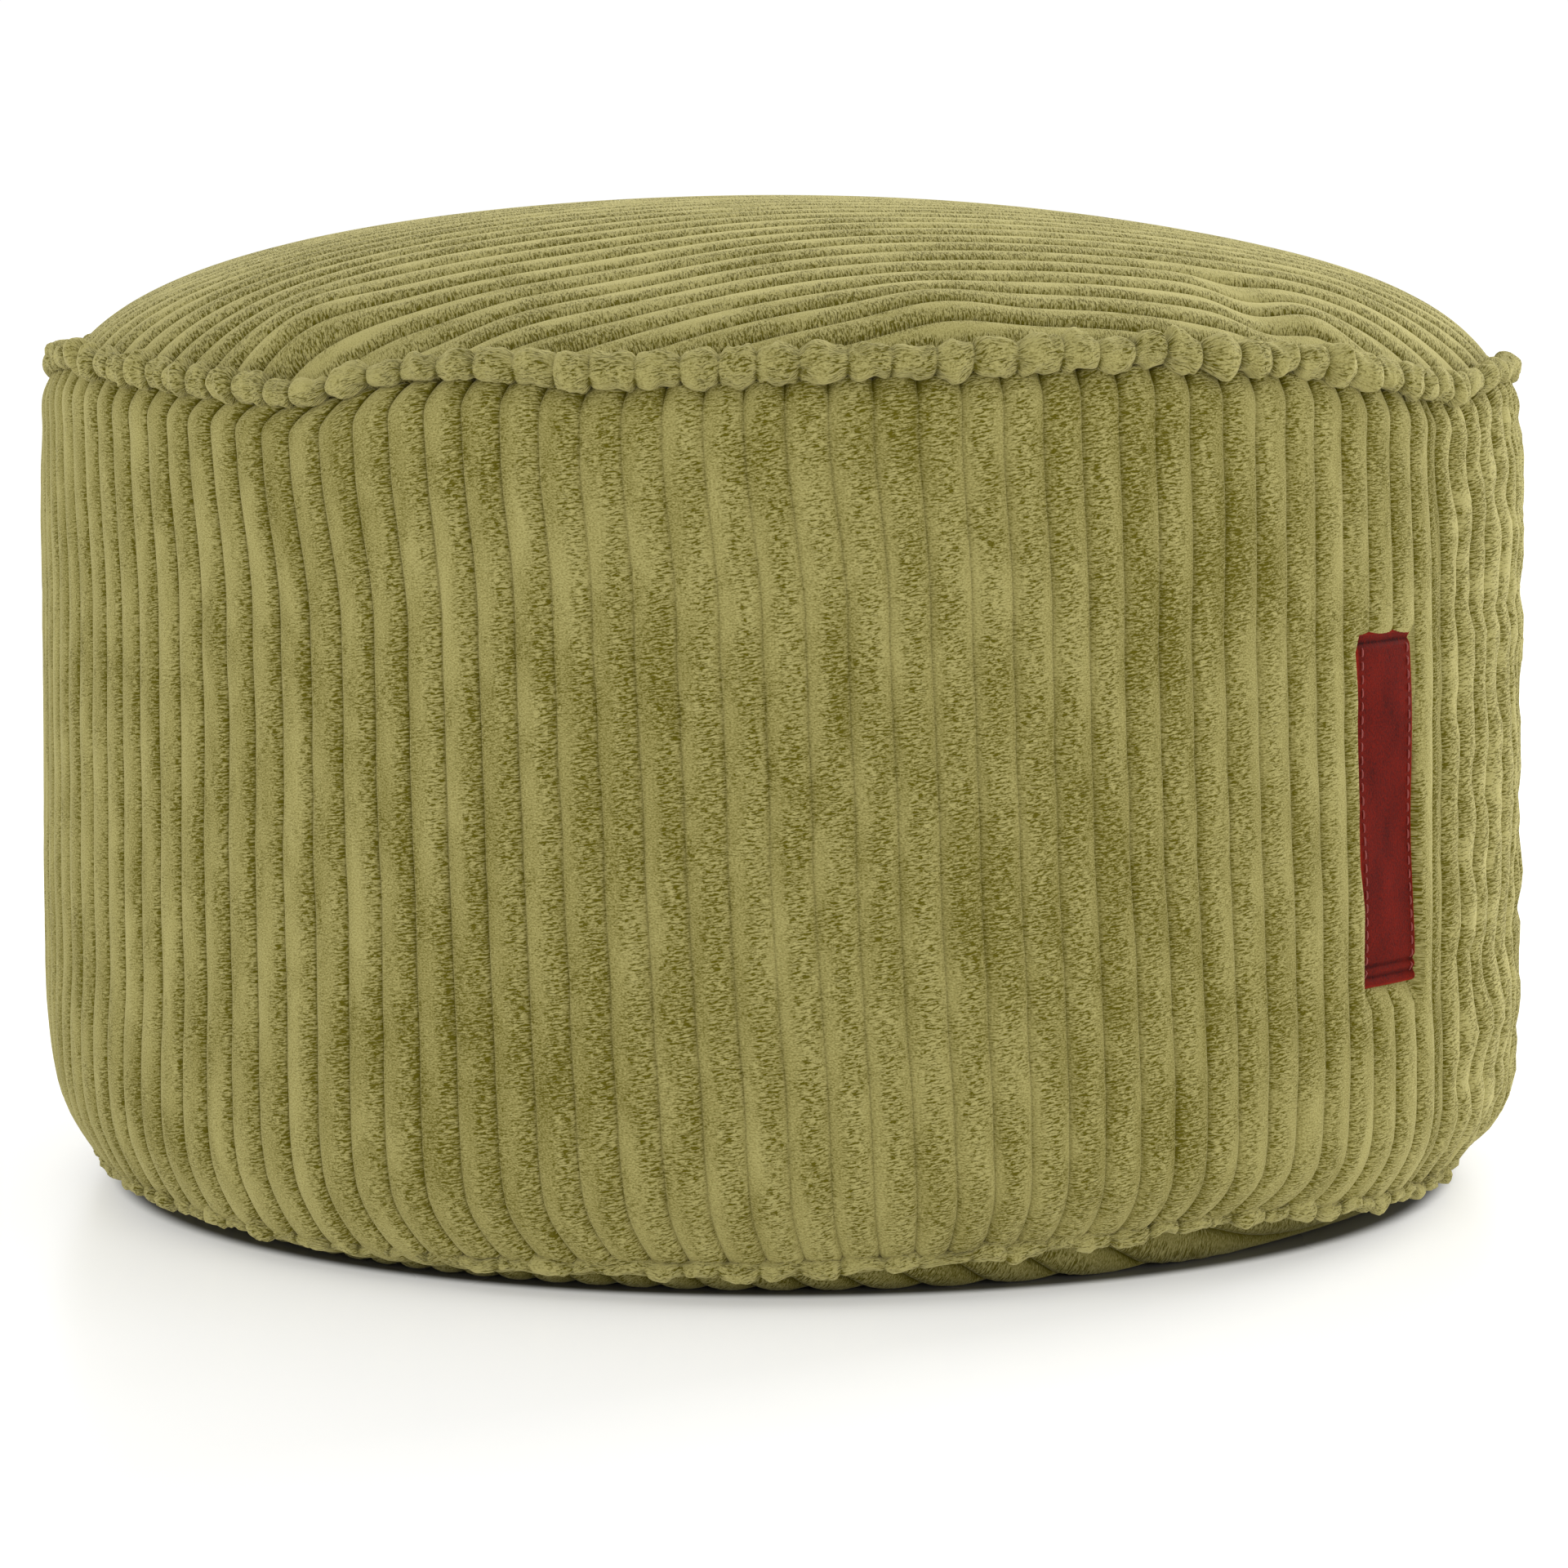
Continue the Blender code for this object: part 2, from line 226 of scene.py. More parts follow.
def around(azimuth: Array, line: Line) -> Array:
    """One column of STATIONS, as a smooth line through them all round the drum.

    Args:
        azimuth: Azimuths in radians.
        line: The column.

    Returns:
        Its value at each azimuth.
    """
    wrapped = (*STATIONS[-2:], *STATIONS, *STATIONS[:3])
    turns = np.repeat([-360.0, 0.0, 360.0], [2, len(STATIONS), 3])
    places = np.array([s.azimuth_deg for s in wrapped]) + turns
    values = np.array([getattr(s, line.value) for s in wrapped], float)
    return hermite(places, values, (np.degrees(azimuth) - places[2]) % 360.0 + places[2])


def drifted(even: Array) -> Array:
    """Where ribs really start, which evenly spread ribs would start at given azimuths.

    Args:
        even: Azimuths in radians.

    Returns:
        The azimuths a with a - drift(a) = even, found by four steps.
    """
    azimuth = even
    for _ in range(4):
        azimuth = even + np.radians(around(azimuth, Line.DRIFT))
    return azimuth


def rib_azimuth(azimuth: Array, height: Array) -> Array:
    """Where a rib runs, from its start under the beads to the bottom seam.

    Args:
        azimuth: Where the rib starts, in radians.
        height: Heights along it.

    Returns:
        The start, plus a soft step at the shoulder, a lean that grows down the wall, the toe
        that splays out below it, the sweep (1 - z/h)^2 near the floor and, under the beads, the
        hook 1 - sqrt(1 - t^2), t going from 0 to 1.
    """
    near_beads = np.clip(1.0 - (HOOK_TOP - height) / HOOK_HEIGHT, 0.0, 0.995)
    shares = {
        Line.SHOULDER: eased(height, *SHOULDER),
        Line.LEAN: np.clip((WALL[0] - height) / (WALL[0] - WALL[1]), 0.0, 1.1) ** 1.3,
        Line.TOE: np.clip(1.0 - height / TOE_HEIGHT, 0.0, 1.0) ** 1.3,
        Line.SWEEP: np.clip(1.0 - height / SWEEP_HEIGHT, 0.0, 1.0) ** 2,
        Line.HOOK: 1.0 - np.sqrt(1.0 - near_beads**2),
    }
    degrees = sum(around(azimuth, line) * share for line, share in shares.items())
    return azimuth + np.radians(degrees)


@dataclass(frozen=True)
class SoftNoise:
    """Seeded soft waves on a net of random values that repeats after one turn each way."""

    seed: int
    across: int
    along: int

    def at(self, u: Array, v: Array) -> Array:
        """Waves of about -1 to 1: the cubic B-spline through the net's values.

        Args:
            u: Turns across, of which 1 repeats.
            v: Turns along, of which 1 repeats.

        Returns:
            Sum over the 4 x 4 nearest values of value * B(u) * B(v).
        """
        values = np.random.default_rng(self.seed).uniform(-1.9, 1.9, (self.across, self.along))
        u, v = np.broadcast_arrays(u * self.across, v * self.along)
        column, row = np.floor(u).astype(int), np.floor(v).astype(int)
        total = np.zeros(u.shape)
        for i, weight_u in enumerate(self.weights(u - column)):
            for j, weight_v in enumerate(self.weights(v - row)):
                near = values[(column + i - 1) % self.across, (row + j - 1) % self.along]
                total += near * weight_u * weight_v
        return total

    @staticmethod
    def weights(t: Array) -> tuple[Array, ...]:
        """Weights of the four nearest values.

        Args:
            t: Share of the way across a cell.

        Returns:
            The cubic B-spline's weight of each.
        """
        return (
            (1 - t) ** 3 / 6,
            (3 * t**3 - 6 * t**2 + 4) / 6,
            (-3 * t**3 + 3 * t**2 + 3 * t + 1) / 6,
            t**3 / 6,
        )


@dataclass(frozen=True)
class Wave:
    """A layer of soft noise wrapped round the drum."""

    size: float
    noise: SoftNoise
    repeat: float = 0.32  # metres of height after which it repeats

    def at(self, azimuth: Array, height: Array) -> Array:
        """Size times the noise at the turn azimuth / 2 pi and the height / repeat."""
        return self.size * self.noise.at(azimuth / math.tau, height / self.repeat)


@dataclass(frozen=True)
class RibShape:
    """Cross-section of a rib: round-backed, with a narrow groove on either side."""

    depth: float = 0.0019
    squareness: float = 2.3
    fullness: float = 0.45  # 0.5 and less: steep into the groove; 1: gently
    phases: tuple[float, ...] = (0.0, 0.03, 0.09, 0.19, 0.34, 0.50, 0.66, 0.81, 0.91, 0.97)

    def crest(self, phase: Array) -> Array:
        """Height of the rib, 0 to 1: (1 - |2p - 1|^n)^fullness at a phase counted in ribs."""
        away = np.abs(2.0 * (phase % 1.0) - 1.0)
        return np.maximum(1.0 - away**self.squareness, 0.0) ** self.fullness

    def flank(self, phase: Array) -> Array:
        """-1 on the left flank and 1 on the right one: -sin(2 pi (p + 0.1))."""
        return -np.sin(math.tau * (phase + 0.1))

    def columns(self, first: int, count: int) -> Array:
        """Phases of all points of a run of ribs, counted in ribs."""
        return (first + np.arange(count)[:, None] + np.array(self.phases)).ravel()


@dataclass(frozen=True)
class ProfileKnot:
    """A named point of a turned profile and how much of each wave it takes up there."""

    name: str
    radius: float
    height: float
    seam_share: float
    stitch_share: float
    rib_share: float


class Profile:
    """Smooth line through knots, measured by the length from knot to knot."""

    def __init__(self, knots: tuple[ProfileKnot, ...]) -> None:
        """Takes the knots in order.

        Args:
            knots: From the bottom of the line up.
        """
        self.names = [knot.name for knot in knots]
        self.values = np.array([astuple(knot)[1:] for knot in knots], float)
        steps = np.hypot(*np.diff(self.values[:, :2], axis=0).T)
        self.reach = np.concatenate([[0.0], np.cumsum(steps)])

    def place(self, name: str) -> float:
        """Length along the line at which a knot lies."""
        return float(self.reach[self.names.index(name)])

    def at(self, reach: Array) -> Array:
        """Radius, height and the three shares, on the last axis, at lengths along the line."""
        return hermite(self.reach, self.values, reach)

    def reach_at_height(self, height: float) -> float:
        """Length at which the line passes a height."""
        fine = np.linspace(0.0, self.reach[-1], 2000)
        return float(np.interp(height, self.at(fine)[:, 1], fine))


@dataclass
class ClothNet:
    """Net of cloth points in rows and columns, each with its place on the flat cloth."""

    points: Array  # rows, columns, 3
    flat: Array  # the same with 2, and one more row or column where the net closes
    marks: dict[Mark, Array]
    closed_rows: bool = False
    closed_columns: bool = False
    loose_points: list[Array] = field(default_factory=list)
    loose_faces: list[Array] = field(default_factory=list)

    def numbers(self) -> Array:
        """Numbers of the net's points, in their rows and columns."""
        rows, columns = self.points.shape[:2]
        return np.arange(rows * columns).reshape(rows, columns)

    def faces(self) -> tuple[Array, Array]:
        """Four corners of each cell of the net.

        Returns:
            Point numbers, and places on the flat cloth, of the corners of each face.
        """
        rows, columns = self.points.shape[:2]
        row = np.arange(rows if self.closed_rows else rows - 1)[:, None]
        column = np.arange(columns if self.closed_columns else columns - 1)[None, :]
        numbers, places = [], []
        for down, right in ((0, 0), (0, 1), (1, 1), (1, 0)):
            numbers.append((row + down) % rows * columns + (column + right) % columns)
            places.append(self.flat[row + down, column + right])
        return np.stack(numbers, -1).reshape(-1, 4), np.stack(places, 2).reshape(-1, 4, 2)

    def add_points(self, points: Array) -> Array:
        """Adds points beside the net.

        Args:
            points: Their places.

        Returns:
            Their numbers.
        """
        count = self.numbers().size + sum(len(loose) for loose in self.loose_points)
        self.loose_points.append(points)
        return count + np.arange(len(points))

    def fan(self, ring: Array, middle: Array) -> None:
        """Closes a ring of numbered points with triangles to a new point in its middle."""
        tip = np.full(len(ring), self.add_points(middle[None]))
        self.loose_faces.append(np.stack([ring, np.roll(ring, -1), tip], -1))

    def close_ends(self) -> None:
        """Closes the first and the last row of a tube in their middles."""
        number = self.numbers()
        self.fan(number[0, ::-1], self.points[0].mean(axis=0))
        self.fan(number[-1], self.points[-1].mean(axis=0))

    def close_inside(self, scale: float, height: float) -> None:
        """Closes the outline of the net with a ring of points and a fan inside it.

        Args:
            scale: Size of the ring, as a share of the outline's.
            height: Height of the ring.
        """
        number = self.numbers()
        rim = np.concatenate([number[0, :-1], number[:-1, -1], number[-1, :0:-1], number[:0:-1, 0]])
        outline = self.points.reshape(-1, 3)[rim]
        ring = self.add_points(outline * (scale, scale, 0.0) + (0.0, 0.0, height))
        self.loose_faces.append(np.stack([rim, np.roll(rim, -1), np.roll(ring, -1), ring], -1))
        self.fan(ring, np.array([0.0, 0.0, height]))

    def piece(self, name: str, material: Material) -> Object:
        """Makes the object, with its places on the flat cloth and its marks.

        Args:
            name: Name of the piece.
            material: Its finish.

        Returns:
            The new object, which rides on the footstool's body.
        """
        points = np.concatenate([self.points.reshape(-1, 3), *self.loose_points])
        quads, places = self.faces()
        groups = [quads, *self.loose_faces]
        mesh = new_mesh(name, points, groups)
        flat = np.zeros((len(mesh.loops), 2), np.float32)
        flat[: quads.size] = places.reshape(-1, 2)
        mesh.uv_layers.new(name=CLOTH_MAP).data.foreach_set("uv", flat.ravel())
        for mark, values in self.marks.items():
            padded = np.zeros(len(points), np.float32)
            padded[: values.size] = values.ravel()
            mesh.attributes.new(mark.value, "FLOAT", "POINT").data.foreach_set("value", padded)
        return add_piece(mesh, points, groups, material)


def flat_grid(across: Array, along: Array) -> Array:
    """Places on the flat cloth of a net's columns and rows."""
    return np.stack(np.meshgrid(across, along), -1)


def rounded_loop(turn: Array, power: float) -> tuple[Array, Array]:
    """Loop between a circle and a box: sign(c) |c|^power for both c = cos and c = sin."""
    return tuple(np.sign(c) * np.abs(c) ** power for c in (np.cos(turn), np.sin(turn)))


def new_mesh(name: str, points: Array, groups: list[Array]) -> Mesh:
    """Makes a mesh.

    Args:
        name: Its name.
        points: Its points.
        groups: Point numbers of its faces, one array for each number of corners.

    Returns:
        The mesh.
    """
    corners = np.concatenate([group.ravel() for group in groups])
    sizes = np.concatenate([np.full(len(group), group.shape[1]) for group in groups])
    mesh = bpy.data.meshes.new(name)
    mesh.vertices.add(len(points))
    mesh.vertices.foreach_set("co", points.astype(np.float32).ravel())
    mesh.loops.add(len(corners))
    mesh.loops.foreach_set("vertex_index", corners.astype(np.int32))
    mesh.polygons.add(len(sizes))
    mesh.polygons.foreach_set("loop_start", (np.cumsum(sizes) - sizes).astype(np.int32))
    mesh.update(calc_edges=True)
    return mesh


def volume_of(points: Array, groups: list[Array]) -> float:
    """Signed volume inside faces.

    Args:
        points: Their points.
        groups: Their point numbers, one array for each number of corners.

    Returns:
        A sixth of the sum of a . (b x c) over the triangles of the faces.
    """
    total = 0.0
    for group in groups:
        for corner in range(1, group.shape[1] - 1):
            a, b, c = (points[group[:, i]] for i in (0, corner, corner + 1))
            total += float(np.einsum("ij,ij->", a, np.cross(b, c))) / 6.0
    return total


def add_piece(mesh: Mesh, points: Array, groups: list[Array], material: Material) -> Object:
    """Turns a closed mesh outwards and adds it as a piece of the same name.

    Args:
        mesh: The mesh, in place.
        points: Its points.
        groups: Its faces.
        material: Its finish.

    Returns:
        The object, which rides on the footstool's body.
    """
    if volume_of(points, groups) < 0.0:
        mesh.flip_normals()
    mesh.validate()
    mesh.shade_smooth()
    mesh.materials.append(material)
    piece = add_object(mesh.name, mesh)
    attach(piece, BODY)
    return piece


def add_object(name: str, data: ID) -> Object:
    """Puts something into the scene.

    Args:
        name: Name of the object.
        data: Its mesh, light or camera.

    Returns:
        The object.
    """
    made = bpy.data.objects.new(name, data)
    bpy.context.scene.collection.objects.link(made)
    return made


class NodeSheet:
    """Writes nodes into a node tree. Each input takes a number, a tuple or another socket."""

    def __init__(self, tree: NodeTree) -> None:
        """Takes the tree to write into."""
        self.tree = tree

    def fill(self, node: Node, inputs: dict) -> None:
        """Sets inputs of a node, or links sockets to them.

        Args:
            node: The node.
            inputs: Values or sockets for its inputs, by name or number.
        """
        for name, value in inputs.items():
            if isinstance(value, NodeSocket):
                self.tree.links.new(value, node.inputs[name])
            else:
                node.inputs[name].default_value = value

    def node(self, kind: str, inputs: dict | None = None, **settings: object) -> Node:
        """Adds a node.

        Args:
            kind: Its Blender type.
            inputs: Values or sockets for its inputs, by name or number.
            settings: Its own properties.

        Returns:
            The node.
        """
        made = self.tree.nodes.new(kind)
        for name, value in settings.items():
            setattr(made, name, value)
        self.fill(made, inputs or {})
        return made

    def math(self, operation: str, *values: object) -> NodeSocket:
        """Result of a Math node."""
        return self.node("ShaderNodeMath", dict(enumerate(values)), operation=operation).outputs[0]

    def weighted(self, start: object, *terms: tuple[object, float]) -> NodeSocket:
        """Adds terms to a start: start + the sum of value times factor.

        Args:
            start: Value or socket.
            terms: Each a value or socket and its factor.

        Returns:
            The sum.
        """
        for value, factor in terms:
            start = self.math("MULTIPLY_ADD", value, factor, start)
        return start

    def times(self, vector: object, factors: Triple) -> NodeSocket:
        """A vector multiplied coordinate by coordinate."""
        inputs = {0: vector, 1: factors}
        return self.node("ShaderNodeVectorMath", inputs, operation="MULTIPLY").outputs[0]

    def place(self) -> NodeSocket:
        """Place on the object, in metres."""
        return self.node("ShaderNodeTexCoord").outputs["Object"]

    def mark(self, mark: Mark) -> NodeSocket:
        """Value of a mark of the cloth."""
        return self.node("ShaderNodeAttribute", attribute_name=mark.value).outputs["Fac"]

    def noise(self, vector: object, factors: Triple, **inputs: float) -> NodeSocket:
        """Noise of about 0 to 1, where the factors are its features per metre, each way."""
        inputs = {"Vector": self.times(vector, factors), "Scale": 1.0, **inputs}
        return self.node("ShaderNodeTexNoise", inputs).outputs["Fac"]

    def band(
        self, value: object, low: float, high: float, to_low: float = 0.0, to_high: float = 1.0
    ) -> NodeSocket:
        """A value taken smoothly from one range to another and held there."""
        inputs = {0: value, 1: low, 2: high, 3: to_low, 4: to_high}
        return self.node("ShaderNodeMapRange", inputs, interpolation_type="SMOOTHSTEP").outputs[0]

    def blend(self, share: object, low: object, high: object) -> NodeSocket:
        """Colour between two colours."""
        inputs = {0: share, 6: low, 7: high}
        return self.node("ShaderNodeMix", inputs, data_type="RGBA").outputs[2]

    def bump(self, height: object, depth: float, strength: float = 1.0) -> NodeSocket:
        """Normal of a surface with fine relief."""
        inputs = {"Strength": strength, "Distance": depth, "Height": height}
        return self.node("ShaderNodeBump", inputs).outputs[0]


class SocketKind(Enum):
    """Kinds of socket that the pile group has."""

    NUMBER = "NodeSocketFloat"
    VECTOR = "NodeSocketVector"


def pile_group() -> NodeTree:
    """Group that gives the tone and the height of brushed pile.

    The nap is brushed lighter and darker in patches. Where it is ruffled, the pile breaks into
    short crinkles across the rib, with painted shade in their cracks and painted highlights on
    their tufts.
    Painted shade darkens the grooves and wherever the painted shade mark is set.

    Returns:
        The group.
    """
    group = bpy.data.node_groups.new("brushed_pile", "ShaderNodeTree")
    for side, kind, names in (
        ("INPUT", SocketKind.VECTOR, ("Cloth", "Place")),
        ("INPUT", SocketKind.NUMBER, ("Crest", "Ruffled", "Painted Shade", "Patches", "Ruffle")),
        ("OUTPUT", SocketKind.NUMBER, ("Tone", "Height")),
    ):
        for name in names:
            group.interface.new_socket(name, in_out=side, socket_type=kind.value)
    sheet = NodeSheet(group)
    given = sheet.node("NodeGroupInput").outputs
    cloth = given["Cloth"]

    along = sheet.noise(cloth, (72.0, 27.0, 0.0), Detail=2.5, Roughness=0.6, Distortion=0.4)
    wide = sheet.noise(given["Place"], (15.0, 15.0, 15.0), Detail=1.0)
    nap = sheet.weighted(-1.45, (along, 2.0), (wide, 0.9))
    nap = sheet.math("MULTIPLY", nap, given["Patches"])

    rough = sheet.noise(cloth, (150.0, 75.0, 0.0), Distortion=0.5)
    standing = sheet.weighted(-0.34, (given["Ruffled"], 0.66), (nap, -0.24), (rough, 1.05))
    standing = sheet.math("MULTIPLY", sheet.band(standing, 0.10, 0.80), given["Ruffle"])

    turned = sheet.node("ShaderNodeMapping", {"Vector": cloth, "Rotation": (0.0, 0.0, -0.16)})
    crinkle = sheet.noise(turned.outputs[0], (500.0, 1750.0, 0.0), Detail=1.5, Distortion=0.5)
    # Painted shade in the cracks between crinkles, painted highlights on their tufts.
    crack_shade = sheet.math("MULTIPLY", sheet.band(crinkle, 0.52, 0.34), standing)
    tuft_highlight = sheet.math("MULTIPLY", sheet.band(crinkle, 0.52, 0.67), standing)
    fuzz = sheet.noise(cloth, (1500.0, 2300.0, 0.0), Roughness=0.7)
    fuzz = sheet.math("SUBTRACT", fuzz, 0.5)
    # Painted shade in the grooves.
    groove_shade = sheet.math("SUBTRACT", 1.0, given["Crest"])
    groove_shade = sheet.math("MULTIPLY", groove_shade, groove_shade)

    tone = sheet.weighted(0.60, (nap, 0.42), (crack_shade, -0.85), (tuft_highlight, 0.48), (fuzz, 2.4))
    tone = sheet.weighted(tone, (groove_shade, -0.08), (given["Painted Shade"], -1.0))
    crinkled = sheet.math("MULTIPLY", crinkle, sheet.weighted(0.14, (standing, 0.80)))
    height = sheet.weighted(crinkled, (fuzz, 0.20))
    sheet.node("NodeGroupOutput", {"Tone": tone, "Height": height})
    return group


def new_material(name: str) -> tuple[Material, NodeSheet, Node]:
    """Starts a material.

    Args:
        name: Name of the material.

    Returns:
        The material, a sheet to write its nodes, and its shader.
    """
    material = bpy.data.materials.new(name)
    material.use_nodes = True
    return material, NodeSheet(material.node_tree), material.node_tree.nodes["Principled BSDF"]


@dataclass(frozen=True)
class CorduroyFinish:
    """Brushed olive corduroy."""

    name: str
    patches: float = 1.0  # how strongly the nap is brushed light and dark
    ruffle: float = 1.0  # how strongly it crinkles
    paler: float = 0.0  # added to its tone
    painted_sheen: float = 0.06  # painted sheen: how much paler the pile is painted where it is seen along the surface
    pile_depth: float = 0.0008
    deep: Triple = (0.370, 0.340, 0.030)
    pale: Triple = (0.690, 0.655, 0.415)
    sheen_tint: Triple = (0.96, 0.92, 0.70)
    facing: float = 0.28  # mean of how far the cloth is turned away, at which the painted sheen adds nothing

    def material(self, group: NodeTree) -> Material:
        """Makes the material.

        Args:
            group: The brushed pile group.

        Returns:
            The material.
        """
        material, sheet, shader = new_material(self.name)
        pile = sheet.node(
            "ShaderNodeGroup",
            {
                "Cloth": sheet.node("ShaderNodeUVMap", uv_map=CLOTH_MAP).outputs[0],
                "Place": sheet.place(),
                "Crest": sheet.mark(Mark.CREST),
                "Ruffled": sheet.mark(Mark.RUFFLED),
                "Painted Shade": sheet.mark(Mark.SHADE_AND_WEAR),
                "Patches": self.patches,
                "Ruffle": self.ruffle,
            },
            node_tree=group,
        )
        # Painted sheen: the tone is raised where the surface is seen edge-on.
        away = sheet.node("ShaderNodeLayerWeight", {"Blend": 0.5}).outputs["Facing"]
        tone = sheet.weighted(pile.outputs["Tone"], (away, self.painted_sheen))
        tone = sheet.math("ADD", tone, self.paler - self.facing * self.painted_sheen)
        sheet.fill(
            shader,
            {
                "Base Color": sheet.blend(tone, linear(self.deep), linear(self.pale)),
                "Normal": sheet.bump(pile.outputs["Height"], self.pile_depth),
                "Roughness": 0.90,
                "Sheen Weight": 0.35,
                "Sheen Roughness": 0.45,
                "Sheen Tint": linear(self.sheen_tint),
                "Specular IOR Level": 0.10,
            },
        )
        return material


@dataclass(frozen=True)
class LeatherFinish:
    """Dark red label leather with a fine grain, a little paler where its edges are worn, with
    painted shade in its creases.
    """

    name: str = "label_leather"
    colour: Triple = (0.160, 0.018, 0.012)
    worn: Triple = (0.640, 0.152, 0.084)
    roughness: float = 0.66

    def material(self) -> Material:
        """Makes the material.

        Returns:
            The material.
        """
        material, sheet, shader = new_material(self.name)
        place = sheet.place()
        fine = (1400.0, 1400.0, 1400.0)
        grain = sheet.noise(place, fine, Detail=3.0, Roughness=0.6, Distortion=0.4)
        cloudy = sheet.noise(place, (90.0, 90.0, 60.0))
        # The mark holds the worn edges and the painted shade in the creases.
        worn = sheet.mark(Mark.SHADE_AND_WEAR)
        share = sheet.weighted(-0.29, (cloudy, 0.40), (worn, 0.45), (grain, 0.76))
        rough = sheet.band(grain, 0.3, 0.7, self.roughness - 0.06, self.roughness + 0.10)
        sheet.fill(
            shader,
            {
                "Base Color": sheet.blend(share, linear(self.colour), linear(self.worn)),
                "Normal": sheet.bump(grain, 0.00025, 0.6),
                "Roughness": rough,
                "Specular IOR Level": 0.06,
            },
        )
        return material


@dataclass(frozen=True)
class ThreadFinish:
    """Waxed sewing thread of the label, with painted shade between its strands."""

    name: str = "label_thread"
    colour: Triple = (0.66, 0.27, 0.24)
    between_strands: float = 0.7

    def material(self) -> Material:
        """Makes the material.

        Returns:
            The material.
        """
        material, sheet, shader = new_material(self.name)
        along = sheet.times(sheet.place(), (1.0, 1.0, 0.6))
        wave = {"Vector": along, "Scale": 900.0, "Distortion": 1.0}
        twist = sheet.node("ShaderNodeTexWave", wave).outputs["Fac"]
        # Painted shade between the strands.
        shade_between = tuple(self.between_strands * channel for channel in self.colour)
        sheet.fill(
            shader,
            {
                "Base Color": sheet.blend(twist, linear(shade_between), linear(self.colour)),
                "Normal": sheet.bump(twist, 0.0001),
                "Roughness": 0.6,
            },
        )
        return material


